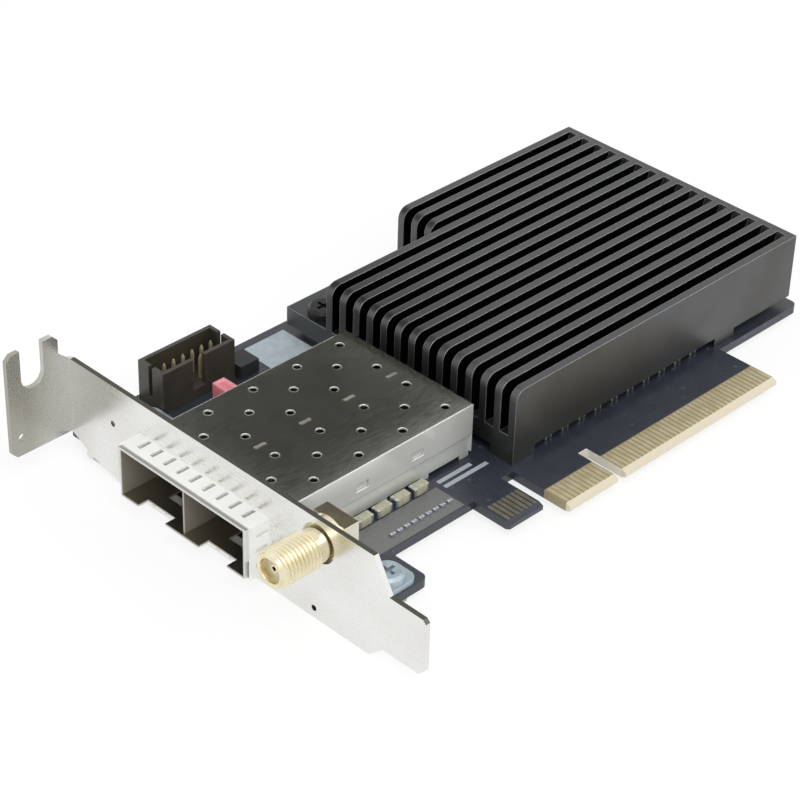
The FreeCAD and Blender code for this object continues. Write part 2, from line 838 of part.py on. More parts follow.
def make_fasteners():
    """Screws down through the board with their nuts, and screws up into the heat-sink posts."""
    shank_end = f"{BOARD_BACK} - nut_height"
    feet = [cross_screw("foot_screw", ("foot_screw_reach", up, "0"), "sheet_thickness", shank_end)
            for up in foot_middles().values()]
    keep(group("foot_screws", feet), "foot_screws")
    sink_place = (SINK_SCREW_BACK, "sink_screw_up", "0")
    keep(cross_screw("heatsink_screw", sink_place, "sink_floor", shank_end), "heatsink_screw")

    nuts = []
    for back, up in through_screw_places():
        prism = doc.addObject("Part::Prism", "nut_blank")
        prism.Polygon = 6
        prism.setExpression("Circumradius", formula("nut_radius"))
        prism.setExpression("Height", formula("nut_height"))
        place(prism, (back, up, shank_end))
        bore = doc.addObject("Part::Prism", "nut_bore")
        bore.Polygon = HOLE_SIDES
        bore.setExpression("Circumradius", formula(f"{corner_reach(HOLE_SIDES):.6f} * screw_radius"))
        bore.setExpression("Height", formula("nut_height"))
        place(bore, (back, up, shank_end))
        nut = doc.addObject("Part::Cut", "nut")
        nut.Base = prism
        nut.Tool = bore
        nuts.append(nut)
    keep(group("board_nuts", nuts), "board_nuts")

    head = f"{BOARD_BACK} - back_head_height"
    profile = [
        ("0", head),
        ("screw_head_radius", head),
        ("screw_head_radius", BOARD_BACK),
        ("screw_radius", BOARD_BACK),
        ("screw_radius", "tapped_depth"),
        ("0", "tapped_depth"),
    ]
    backs = [turned("back_screw", (back, up, "0"), "V", profile) for back, up in tapped_post_places()]
    keep(group("heatsink_back_screws", backs), "heatsink_back_screws")


def mouth_notches(sketch, front):
    """For each port the notch in the floor at its mouth, from a sheet's front edge."""
    for middle in port_middles().values():
        rectangle(sketch, (front, f"{middle} - mouth_notch_width / 2"),
                  (f"{CAGE_FRONT} + mouth_notch_depth", f"{middle} + mouth_notch_width / 2"))


def make_cage_base():
    """The cage's trough: floor with mouth notches, latch and socket openings, walls and legs."""
    body = new_body("cage_base")
    section = [
        (BASE_RIGHT, "cage_floor"),
        (BASE_LEFT, "cage_floor"),
        (BASE_LEFT, LID_LOW),
        (f"{BASE_LEFT} - cage_sheet", LID_LOW),
        (f"{BASE_LEFT} - cage_sheet", FLOOR_TOP),
        (f"{BASE_RIGHT} + cage_sheet", FLOOR_TOP),
        (f"{BASE_RIGHT} + cage_sheet", LID_LOW),
        (BASE_RIGHT, LID_LOW),
    ]
    pad_up(body, "YZ", CAGE_FRONT, "cage_length", lambda sketch: loop(sketch, section))

    def floor_openings(sketch):
        """For each port a notch at the mouth, a latch window and the socket's opening."""
        mouth_notches(sketch, CAGE_FRONT)
        for middle in port_middles().values():
            start = f"{CAGE_FRONT} + latch_window_start"
            rectangle(sketch, (start, f"{middle} - latch_window / 2"),
                      (f"{start} + latch_window", f"{middle} + latch_window / 2"))
            half = "socket_width / 2 + fit_clearance"
            rectangle(sketch, (f"{SOCKET_FRONT} - fit_clearance", f"{middle} - ({half})"),
                      (CAGE_REAR, f"{middle} + {half}"))

    def shoulders(sketch):
        """Wide stubs that stand on the board."""
        for middle in cage_leg_places():
            square_hole(sketch, middle, "leg_width", "cage_sheet")

    def pins(sketch):
        """Narrow pins that go through the board."""
        for middle in cage_leg_places():
            square_hole(sketch, middle, "leg_pin_width", "cage_sheet")

    cut_up(body, "XY", "cage_floor", "cage_sheet", floor_openings)
    pad_up(body, "XY", "0", "cage_floor", shoulders)
    pad_up(body, "XY", f"{BOARD_BACK} - leg_pin_tail", "board_thickness + leg_pin_tail", pins)
    keep(body, "cage_base")


def divider_tab_middles():
    """Where the divider's tabs come up through the cover."""
    return row_from(VENT_COLUMNS, "vent_first", VENT_PITCH)


def make_cage_cover():
    """The cage's lid with its skirts, rear wall, vent holes, tab slots and lock windows."""
    body = new_body("cage_cover")
    section = [
        (COVER_RIGHT, "skirt_low"),
        (BASE_RIGHT, "skirt_low"),
        (BASE_RIGHT, LID_LOW),
        (BASE_LEFT, LID_LOW),
        (BASE_LEFT, "skirt_low"),
        (COVER_LEFT, "skirt_low"),
        (COVER_LEFT, "cage_top"),
        (COVER_RIGHT, "cage_top"),
    ]
    pad_up(body, "YZ", CAGE_FRONT, "cage_length", lambda sketch: loop(sketch, section))
    rear = ((COVER_RIGHT, "cage_floor"), (COVER_LEFT, "cage_top"))
    pad_up(body, "YZ", CAGE_REAR, "cage_sheet", lambda sketch: rectangle(sketch, *rear))

    def lid_openings(sketch):
        """One column of staggered vent holes over each port, and the slot for a divider tab."""
        for side in ("+", "-"):
            for step in ("+", "-"):
                row = f"cage_middle {side} (vent_row {step} vent_row_spacing)"
                small_round(sketch, "vent_first", row, "vent_radius", RIVET_SIDES)
            staggered = f"vent_first - ({VENT_PITCH}) / 2"
            small_round(sketch, staggered, f"cage_middle {side} vent_row", "vent_radius", RIVET_SIDES)
        square_hole(sketch, ("vent_first", "cage_middle"), "divider_tab_length + fit_clearance",
                    "cage_sheet + fit_clearance")

    def lock_windows(sketch):
        """Windows in the skirts where the trough's wall shows."""
        for middle in middles(LOCK_WINDOWS, f"{CAGE_FRONT} + cage_length / 2", "cage_length / 4"):
            rectangle(sketch, (f"{middle} - lock_window_length / 2", "lock_window_low"),
                      (f"{middle} + lock_window_length / 2", "lock_window_low + lock_window_height"))

    column = cut_up(body, "XY", LID_LOW, "cage_sheet", lid_openings)
    repeat(body, column, "X", VENT_COLUMNS, VENT_PITCH)
    cut_up(body, "XZ", COVER_RIGHT, "cage_sheet", lock_windows)
    cut_up(body, "XZ", BASE_LEFT, "cage_sheet", lock_windows)
    keep(body, "cage_cover")


def make_divider():
    """The wall between the ports, with tabs that come up through the cover."""
    body = new_body("cage_divider")
    front = f"{CAGE_FRONT} + divider_recess"
    corners = [(front, FLOOR_TOP), (CAGE_REAR, FLOOR_TOP), (CAGE_REAR, LID_LOW)]
    for middle in reversed(divider_tab_middles()):
        near_side = f"{middle} - divider_tab_length / 2"
        far_side = f"{middle} + divider_tab_length / 2"
        tip = "cage_top + divider_tab_proud"
        corners += [(far_side, LID_LOW), (far_side, tip), (near_side, tip), (near_side, LID_LOW)]
    corners.append((front, LID_LOW))
    right = "cage_middle - cage_sheet / 2"
    pad_up(body, "XZ", right, "cage_sheet", lambda sketch: loop(sketch, corners))
    keep(body, "cage_divider")


def make_collar():
    """The slotted spring collar that closes the gap between the cage and the bracket."""
    body = new_body("cage_collar")
    outer = ((f"{COVER_RIGHT} - collar_sheet", "cage_floor - collar_sheet"),
             (f"{COVER_LEFT} + collar_sheet", "cage_top + collar_sheet"))
    inner = ((COVER_RIGHT, "cage_floor"), (COVER_LEFT, "cage_top"))

    def ring(sketch):
        """The collar's wall all round the cage."""
        rectangle(sketch, *outer)
        rectangle(sketch, *inner)

    def slots(rows, pitch_name, middle):
        """Slots between the spring fingers, across a row."""
        start = f"{COLLAR_FRONT} + collar_slot_start"

        def draw(sketch):
            for place_in_row in middles(rows, middle, pitch_name):
                rectangle(sketch, (start, f"{place_in_row} - collar_slot_width / 2"),
                          (f"{start} + collar_slot_length", f"{place_in_row} + collar_slot_width / 2"))
        return draw

    pad_up(body, "YZ", COLLAR_FRONT, f"{COLLAR_REAR} - ({COLLAR_FRONT})", ring)
    height = "cage_top - cage_floor + 2 * collar_sheet"
    width = f"{COVER_LEFT} - ({COVER_RIGHT}) + 2 * collar_sheet"
    top_slots = slots(COLLAR_SLOTS, "collar_pitch", "cage_middle")
    side_slots = slots(COLLAR_SIDE_SLOTS, "collar_side_pitch", "(cage_floor + cage_top) / 2")
    low = "cage_floor - collar_sheet"
    cut_up(body, "XY", low, height, top_slots)
    cut_up(body, "XY", low, "collar_sheet", lambda sketch: mouth_notches(sketch, COLLAR_FRONT))
    cut_up(body, "XZ", f"{COVER_RIGHT} - collar_sheet", width, side_slots)
    keep(body, "cage_collar")


def make_sockets():
    """The card-edge socket at the back of each port, with its two rows of contacts."""
    slot_high = "socket_slot_low + socket_slot_height"
    contact_rows = [("socket_slot_low", "socket_slot_low + socket_contact_thickness"),
                    (f"{slot_high} - socket_contact_thickness", slot_high)]
    contact_back = f"{SOCKET_FRONT} + socket_slot_depth"
    for side, middle in port_middles().items():
        name = f"{side}_port_socket"
        housing = block(f"{name}_housing", (SOCKET_FRONT, f"{middle} - socket_width / 2", "0"),
                        (f"{SOCKET_FRONT} + socket_length", f"{middle} + socket_width / 2", "socket_height"))
        slot = block(f"{name}_slot",
                     (SOCKET_FRONT, f"{middle} - socket_slot_width / 2", "socket_slot_low"),
                     (contact_back, f"{middle} + socket_slot_width / 2", slot_high))
        socket = doc.addObject("Part::Cut", name)
        socket.Base = housing
        socket.Tool = slot
        keep(socket, name)
        contacts = []
        for up in middles(SOCKET_CONTACTS, middle, "socket_contact_pitch"):
            for low, high in contact_rows:
                first = (f"{contact_back} - socket_contact_length", f"{up} - socket_contact_width / 2", low)
                last = (contact_back, f"{up} + socket_contact_width / 2", high)
                contacts.append(block(f"{name}_contact", first, last))
        keep(group(f"{side}_port_contacts", contacts), f"{side}_port_contacts")


def make_coax_jack():
    """The coaxial jack: turned barrel, insulator and contact, and the body on its pedestal."""
    axis = ("0", "coax_up", "coax_out")
    barrel = [
        ("-coax_proud", "coax_bore"),
        ("-coax_proud", "coax_radius - coax_lead"),
        ("coax_lead - coax_proud", "coax_radius"),
        ("-coax_relief", "coax_radius"),
        ("-coax_relief", "coax_relief_radius"),
        ("sheet_thickness", "coax_relief_radius"),
        ("sheet_thickness", "coax_flange_radius"),
        (COAX_BACK, "coax_flange_radius"),
        (COAX_BACK, "coax_bore"),
    ]
    insulator_front = "coax_insulator_sink - coax_proud"
    insulator = [
        (insulator_front, "coax_contact_radius"),
        (insulator_front, "coax_bore"),
        (COAX_BACK, "coax_bore"),
        (COAX_BACK, "coax_contact_radius"),
    ]
    contact_front = "coax_contact_sink - coax_proud"
    contact = [
        (contact_front, "coax_contact_bore"),
        (contact_front, "coax_contact_radius"),
        (COAX_BACK, "coax_contact_radius"),
        (COAX_BACK, "0"),
        (f"{contact_front} + coax_contact_depth", "0"),
        (f"{contact_front} + coax_contact_depth", "coax_contact_bore"),
    ]
    for name, profile in (("coax_barrel", barrel), ("coax_insulator", insulator), ("coax_contact", contact)):
        keep(turned(name, axis, "H", profile), name)

    half = "coax_body_width / 2"
    body_rear = f"{COAX_BACK} + coax_body_length"
    shell = new_body("coax_body")
    square = ((f"coax_up - {half}", COAX_LOW), (f"coax_up + {half}", f"coax_out + {half}"))
    pad_up(shell, "YZ", COAX_BACK, "coax_body_length", lambda sketch: rectangle(sketch, *square))
    round_edges(shell, "coax_body_chamfer", [lambda point: near(point, x=body_rear)])
    keep(shell, "coax_body")

    stand = new_body("coax_pedestal")
    foot = ((COAX_BACK, PEDESTAL_RIGHT), (f"{COAX_BACK} + pedestal_length", PEDESTAL_LEFT))
    pad_up(stand, "XY", "0", COAX_LOW, lambda sketch: rectangle(sketch, *foot))

    def legs(sketch):
        """Square legs that go through the board."""
        for middle in pedestal_leg_places():
            square_hole(sketch, middle, "pedestal_leg", "pedestal_leg")

    pad_up(stand, "XY", f"{BOARD_BACK} - leg_pin_tail", "board_thickness + leg_pin_tail", legs)
    keep(stand, "coax_pedestal")


def make_heatsink():
    """The finned heat sink: saw-cut channels that run out before the rear, a cleared corner and posts."""
    body = new_body("heatsink")
    nose = "fin_nose_radius"
    side = [
        (SINK_FRONT, "sink_low"),
        ("sink_rear", "sink_low"),
        ("sink_rear", "sink_top"),
        (f"{SINK_FRONT} + {nose}", "sink_top", nose, 1),
        (SINK_FRONT, f"sink_top - {nose}"),
    ]
    pad_up(body, "XZ", "sink_right", SINK_WIDTH, lambda sketch: loop(sketch, side))

    depth = "(sink_top - sink_floor)"
    run = f"sqrt(saw_radius * saw_radius - (saw_radius - {depth}) * (saw_radius - {depth}))"
    channel_end = "sink_rear - rear_band"
    channel = [
        (SINK_FRONT, "sink_floor"),
        (f"{channel_end} - {run}", "sink_floor", "saw_radius", 1),
        (channel_end, "sink_top"),
        (SINK_FRONT, "sink_top"),
    ]
    channel_width = "fin_pitch - fin_thickness"
    first_channel = "sink_right + fin_thickness"
    cut = cut_up(body, "XZ", first_channel, channel_width, lambda sketch: loop(sketch, channel))
    repeat(body, cut, "Y", FIN_CHANNELS, "fin_pitch")

    corner = [
        (SINK_FRONT, "sink_floor"),
        (SINK_STEP, "sink_floor"),
        (SINK_STEP, f"sink_top - {nose}", nose, -1),
        (f"{SINK_STEP} + {nose}", "sink_top"),
        (SINK_FRONT, "sink_top"),
    ]
    corner_width = f"{SINK_LEFT} - ({FULL_LEFT})"
    cut_up(body, "XZ", FULL_LEFT, corner_width, lambda sketch: loop(sketch, corner))

    def posts(sketch):
        """Square posts that stand on the board under the base."""
        for middle in tapped_post_places() + [(SINK_SCREW_BACK, "sink_screw_up")]:
            square_hole(sketch, middle, "post_width", "post_width")

    def tapped_holes(sketch):
        """Blind holes in the three posts that are screwed from the solder side."""
        for back, up in tapped_post_places():
            small_round(sketch, back, up, "screw_radius", HOLE_SIDES)

    screw_hole = (SINK_SCREW_BACK, "sink_screw_up", "screw_radius + hole_clearance", HOLE_SIDES)
    pad_up(body, "XY", "0", "sink_low", posts)
    cut_up(body, "XY", "0", "tapped_depth", tapped_holes)
    cut_up(body, "XY", "0", "sink_floor", lambda sketch: small_round(sketch, *screw_hole))
    keep(body, "heatsink")


def slab(name, middle, width, low, height):
    """A square plate about a middle on the board."""
    back, up = middle
    first = (f"{back} - {width} / 2", f"{up} - {width} / 2", low)
    last = (f"{back} + {width} / 2", f"{up} + {width} / 2", f"{low} + {height}")
    keep(block(name, first, last), name)


def make_chips():
    """The controller under its thermal pad, and the memory chip beside it."""
    middle = ("chip_back", "chip_up")
    lid_high = "substrate_height + lid_height"
    slab("processor_substrate", middle, "substrate_width", "0", "substrate_height")
    slab("processor_lid", middle, "lid_width", "substrate_height", "lid_height")
    slab("thermal_pad", middle, "pad_width", lid_high, f"sink_low - ({lid_high})")
    memory_rear = "chip_back - substrate_width / 2 - memory_gap"
    memory = block("flash_memory", (f"{memory_rear} - memory_length", "memory_up", "0"),
                   (memory_rear, "memory_up + memory_width", "memory_height"))
    keep(memory, "flash_memory")


def make_header():
    """The shrouded pin header with its key notch, its slit end walls and two rows of pins."""
    body = new_body("header_housing")
    rear = "header_front + header_length"
    left = "header_right + header_width"
    outer = (("header_front", "header_right"), (rear, left))
    inner = (("header_front + header_wall", "header_right + header_wall"),
             (f"{rear} - header_wall", f"{left} - header_wall"))
    middle = "header_front + header_length / 2"
    notch = ((f"{middle} - header_notch / 2", "header_right"),
             (f"{middle} + header_notch / 2", "header_right + header_wall"))
    between_rows = "header_right + header_width / 2"
    slit = (("header_front", f"{between_rows} - header_slit / 2"),
            (rear, f"{between_rows} + header_slit / 2"))
    cavity = "header_height - header_floor"
    pad_up(body, "XY", "0", "header_height", lambda sketch: rectangle(sketch, *outer))
    cut_up(body, "XY", "header_floor", cavity, lambda sketch: rectangle(sketch, *inner))
    cut_up(body, "XY", "header_floor", cavity, lambda sketch: rectangle(sketch, *notch))
    cut_up(body, "XY", "header_floor", cavity, lambda sketch: rectangle(sketch, *slit))

    def pin_holes(sketch):
        """Holes in the floor that grip the pins."""
        for pin in header_pin_places():
            square_hole(sketch, pin, "pin_size", "pin_size")

    cut_up(body, "XY", "0", "header_floor", pin_holes)
    keep(body, "header_housing")
    keep(pin_group("header_pins", header_pin_places(), "pin_size", "pin_tip"), "header_pins")


def pin_group(name, places, size, tip):
    """Square pins from below the board to their tips."""
    pins = []
    for back, up in places:
        first = (f"{back} - {size} / 2", f"{up} - {size} / 2", f"{BOARD_BACK} - pin_tail")
        last = (f"{back} + {size} / 2", f"{up} + {size} / 2", tip)
        pins.append(block(f"{name}_pin", first, last))
    return group(name, pins)


def make_jumper():
    """A two-pin jumper with a red shunt pushed over its pins."""
    def sleeve(name, low, high):
        """A block pierced by the two pins."""
        body = new_body(name)
        half_width = "shunt_width / 2"
        half_length = "shunt_length / 2"
        outer = ((f"jumper_back - {half_width}", f"jumper_up - {half_length}"),
                 (f"jumper_back + {half_width}", f"jumper_up + {half_length}"))

        def pin_holes(sketch):
            """Square holes that grip the two pins."""
            for pin in jumper_pin_places():
                square_hole(sketch, pin, "jumper_pin_size", "jumper_pin_size")

        height = f"{high} - ({low})"
        pad_up(body, "XY", low, height, lambda sketch: rectangle(sketch, *outer))
        cut_up(body, "XY", low, height, pin_holes)
        keep(body, name)

    sleeve("jumper_base", "0", "jumper_base_height")
    sleeve("jumper_shunt", "jumper_base_height", "jumper_base_height + shunt_height")
    pins = pin_group("jumper_pins", jumper_pin_places(), "jumper_pin_size", "jumper_pin_tip")
    keep(pins, "jumper_pins")


def chip_row(name, prefix, fronts, right):
    """A row of like chip parts along the board."""
    chips = []
    for front in fronts:
        last = (f"{front} + {prefix}_length", f"{right} + {prefix}_width", f"{prefix}_height")
        chips.append(block(f"{name}_chip", (front, right, "0"), last))
    keep(group(name, chips), name)


def make_small_parts():
    """The inductor behind the header, the label from there to the heat sink, and the chip capacitors."""
    inductor_front = "header_front + header_length + inductor_gap"
    inductor_rear = f"{inductor_front} + inductor_length"
    inductor = block("power_inductor", (inductor_front, "inductor_right", "0"),
                     (inductor_rear, "inductor_right + inductor_width", "inductor_height"))
    keep(inductor, "power_inductor")
    label = block("blank_label", (f"{inductor_rear} + label_gap", "label_right", "0"),
                  (SINK_FRONT, "label_left", "label_thickness"))
    keep(label, "blank_label")
    edge_fronts = row_from(SMALL_CAPS, "small_cap_front", "small_cap_pitch")
    chip_row("board_edge_capacitors", "small_cap", edge_fronts, "small_cap_right")
    cage_fronts = row_from(LARGE_CAPS, "large_cap_front", "large_cap_pitch")
    cage_right = f"{COVER_RIGHT} - large_cap_gap - large_cap_width"
    chip_row("cage_side_capacitors", "large_cap", cage_fronts, cage_right)
    between_posts = f"({SINK_FRONT} + post_width + rear_post_start - row_cap_length) / 2"
    sink_fronts = middles(ROW_CAPS, between_posts, "row_cap_pitch")
    chip_row("heatsink_side_capacitors", "row_cap", sink_fronts, "sink_right + row_cap_inset")


def write_parts():
    """Check the whole document, then write each piece to its own file."""
    doc.recompute()
    for item in doc.Objects:
        if "Invalid" in item.State or "Error" in item.State:
            raise RuntimeError(f"{item.Label} did not build: {item.State}")
    for piece in pieces:
        if piece.Shape.isNull() or not piece.Shape.isValid():
            raise RuntimeError(f"{piece.Label} has no valid shape")
    os.makedirs("parts", exist_ok=True)
    for piece in pieces:
        piece.Shape.exportStep(f"parts/{piece.Label}.step")
        print(f"{piece.Label}: {len(piece.Shape.Solids)} solids, {piece.Shape.Volume:.1f} cubic millimetres")


make_board()
make_contacts()
make_bracket()
make_feet()
make_fasteners()
make_cage_base()
make_cage_cover()
make_divider()
make_collar()
make_sockets()
make_coax_jack()
make_heatsink()
make_chips()
make_header()
make_jumper()
make_small_parts()
write_parts()
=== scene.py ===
"""Looks of a low-profile two-port network adapter card that lies on its solder side."""
import logging
import math
from contextlib import contextmanager
from dataclasses import dataclass
from enum import Enum
from typing import Any, Callable, Iterator, Sequence

import bmesh
import bpy
from mathutils import Matrix, Vector


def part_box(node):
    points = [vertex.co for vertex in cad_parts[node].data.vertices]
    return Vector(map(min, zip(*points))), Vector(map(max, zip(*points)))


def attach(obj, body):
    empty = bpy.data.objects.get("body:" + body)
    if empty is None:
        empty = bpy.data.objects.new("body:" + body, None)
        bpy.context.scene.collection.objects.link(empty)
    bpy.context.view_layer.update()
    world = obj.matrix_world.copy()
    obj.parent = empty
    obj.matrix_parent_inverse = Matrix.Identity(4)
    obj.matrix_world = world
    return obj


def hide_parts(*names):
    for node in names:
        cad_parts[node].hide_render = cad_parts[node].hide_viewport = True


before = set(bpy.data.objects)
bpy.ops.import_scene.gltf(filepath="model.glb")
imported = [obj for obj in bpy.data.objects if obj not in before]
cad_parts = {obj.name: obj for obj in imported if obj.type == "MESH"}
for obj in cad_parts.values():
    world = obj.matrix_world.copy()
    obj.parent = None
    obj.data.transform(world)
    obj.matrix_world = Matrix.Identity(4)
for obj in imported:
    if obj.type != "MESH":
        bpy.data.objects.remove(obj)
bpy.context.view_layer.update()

MM = 0.001
BODY = "root"
LOG = logging.getLogger("adapter_card")

# Parts of a noise's spread that the tones and the roughness run over.
CLOUD_SPAN = (0.35, 0.65)
GRAIN_SPAN = (0.3, 0.7)
# Cosines between the flat normal and the softened one at which an edge is whole, and at which it is fully
# rubbed through and takes its whole painted highlight.
EDGE_SPAN = (0.995, 0.85)
# Metres within which two places are the same, to a pick and to a merge.
SAME = 1e-6
MERGED = 1e-7
# Cosine above which a face looks along an axis.
ALONG = 0.9

Pair = tuple[float, float]
Point = tuple[float, float, float]
Box = tuple[Point, Point]
Tree = bpy.types.NodeTree
Socket = bpy.types.NodeSocket
Piece = bpy.types.Object


class Pick(Enum):
    """What edit mode selects."""

    EDGE = "EDGE"
    FACE = "FACE"


class Lamp(Enum):
    """The studio's square lamps: each one's name, place and side in millimetres, and watts."""

    KEY = ("key_lamp", (-500.0, -700.0, 1250.0), 1000.0, 10.5)
    FILL = ("fill_lamp", (900.0, -900.0, 900.0), 900.0, 3.5)


def linear(code: str) -> tuple[float, float, float, float]:
    """Turn an sRGB hex colour into linear light.

    Args:
        code: Colour as "#rrggbb".

    Returns:
        Linear red, green and blue with a full alpha.
    """
    parts = [int(code[place:place + 2], 16) / 255 for place in (1, 3, 5)]
    red, green, blue = (p / 12.92 if p <= 0.04045 else ((p + 0.055) / 1.055) ** 2.4 for p in parts)
    return red, green, blue, 1.0


def metres(*sizes: float) -> Vector:
    """Turn millimetres into a vector in metres."""
    return Vector(sizes) * MM


def add_node(
    tree: Tree,
    kind: str,
    settings: dict[str | int, Any] | None = None,
    links: dict[str | int, Socket] | None = None,
    output: str | int = 0,
) -> Socket:
    """Add one shader node with its settings and links.

    Args:
        tree: Node tree that takes the node.
        kind: Type name of the node, without the "ShaderNode" that all start with.
        settings: Values by name; a lower-case name is the node's own setting, any other key an input.
        links: Output sockets by the input that each feeds.
        output: Which of its outputs is wanted.

    Returns:
        That output.
    """
    node = tree.nodes.new(f"ShaderNode{kind}")
    for key, value in (settings or {}).items():
        if isinstance(key, str) and key.islower():
            setattr(node, key, value)
        else:
            node.inputs[key].default_value = value
    for key, socket in (links or {}).items():
        tree.links.new(socket, node.inputs[key])
    return node.outputs[output]


@dataclass(frozen=True)
class Finish:
    """A surface of two close tones, with the roughness, grain and soft edges of the real stuff."""

    name: str
    tone: str
    other_tone: str
    roughness: Pair
    metallic: float = 0.0
    cloud_mm: float = 4.0
    # Real grain is too fine for the render, so every finish draws it as coarse as it needs to show.
    grain_mm: Point = (0.3, 0.3, 0.3)
    relief_mm: float = 0.004
    edge_mm: float = 0.08
    # Paler tone of the edges: part rubbing, part painted highlight where a rounded edge would catch the
    # light.
    edge_wear_and_highlight_tone: str = ""

    def material(self) -> bpy.types.Material:
        """Give the finish's material, made at its first use."""
        return bpy.data.materials.get(self.name) or self.build()

    def build(self) -> bpy.types.Material:
        """Make the finish's nodes: tones, pattern, rubbed edges with their painted highlight, roughness and
        relief.

        Returns:
            The new material.
        """
        material = bpy.data.materials.new(self.name)
        material.use_nodes = True
        tree = material.node_tree
        shader = tree.nodes["Principled BSDF"].inputs
        shader["Metallic"].default_value = self.metallic
        place = add_node(tree, "TexCoord", output="Object")
        cloud = add_node(
            tree, "TexNoise", {"Scale": 1 / (self.cloud_mm * MM), "Detail": 3.0}, {"Vector": place}
        )
        start, full = CLOUD_SPAN
        share = add_node(tree, "MapRange", {"From Min": start, "From Max": full}, {"Value": cloud})
        tones = {6: linear(self.tone), 7: linear(self.other_tone)}
        colour = add_node(tree, "Mix", {"data_type": "RGBA", **tones}, {0: share}, 2)
        soft = add_node(tree, "Bevel", {"samples": 4, "Radius": self.edge_mm * MM})
        colour = self.paint(tree, place, colour)
        # Paler edges: part rubbing, part painted highlight.
        if self.edge_wear_and_highlight_tone:
            colour = self.wear_and_highlight(tree, soft, colour)
        tree.links.new(colour, shader["Base Color"])

        scale = [1 / (size * MM) for size in self.grain_mm]
        stretch = add_node(tree, "Mapping", {"Scale": scale}, {"Vector": place})
        grain = add_node(tree, "TexNoise", {"Scale": 1.0, "Detail": 2.0}, {"Vector": stretch})
        start, full = GRAIN_SPAN
        low, high = self.roughness
        rough = add_node(
            tree,
            "MapRange",
            {"From Min": start, "From Max": full, "To Min": low, "To Max": high},
            {"Value": grain},
        )
        tree.links.new(rough, shader["Roughness"])
        relief = add_node(
            tree, "Bump", {"Distance": self.relief_mm * MM}, {"Height": grain, "Normal": soft}
        )
        tree.links.new(relief, shader["Normal"])
        return material

    def wear_and_highlight(self, tree: Tree, soft: Socket, colour: Socket) -> Socket:
        """Lay the edge tone, part rubbing and part painted highlight, on the edges, where the softened normal
        leaves the flat one.

        Args:
            tree: Node tree of the finish.
            soft: Normal that the soft edges give.
            colour: Colour away from the edges.

        Returns:
            The colour with its rubbed and painted-highlight edges.
        """
        flat = add_node(tree, "NewGeometry", output="True Normal")
        turn = add_node(tree, "VectorMath", {"operation": "DOT_PRODUCT"}, {0: soft, 1: flat}, "Value")
        start, full = EDGE_SPAN
        edge_mask = add_node(tree, "MapRange", {"From Min": start, "From Max": full}, {"Value": turn})
        return self.lay(tree, edge_mask, colour, self.edge_wear_and_highlight_tone)

    def lay(self, tree: Tree, share: Socket, colour: Socket, tone: str) -> Socket:
        """Lay one tone over a colour.

        Args:
            tree: Node tree of the finish.
            share: How much of the tone each place gets.
            colour: Colour below it.
            tone: Tone as "#rrggbb".

        Returns:
            The mixed colour.
        """
        return add_node(tree, "Mix", {"data_type": "RGBA", 7: linear(tone)}, {0: share, 6: colour}, 2)

    def facing(self, tree: Tree, axis: str) -> Socket:
        """Give how far a face looks along one axis."""
        flat = add_node(tree, "NewGeometry", output="True Normal")
        return add_node(tree, "SeparateXYZ", links={"Vector": flat}, output=axis)

    def within(self, tree: Tree, place: Socket, box_mm: Box, *also: Socket) -> Socket:
        """Mark the places inside a box, as far as other marks hold there too.

        Args:
            tree: Node tree of the finish.
            place: Object coordinates.
            box_mm: Lowest and highest corner of the box.
            also: The other marks.

        Returns:
            One where all hold, nought elsewhere.
        """
        marks = []
        for axis, start, end in zip("XYZ", *box_mm):
            along = add_node(tree, "SeparateXYZ", links={"Vector": place}, output=axis)
            span = {1: (start + end) / 2 * MM, 2: (end - start) / 2 * MM}
            marks.append(add_node(tree, "Math", {"operation": "COMPARE", **span}, {0: along}))
        inside = marks[0]
        for mark in (*marks[1:], *also):
            inside = add_node(tree, "Math", {"operation": "MULTIPLY"}, {0: inside, 1: mark})
        return inside

    def paint(self, tree: Tree, place: Socket, colour: Socket) -> Socket:
        """Lay the finish's own pattern over its tones; the plain finish has none."""
        return colour


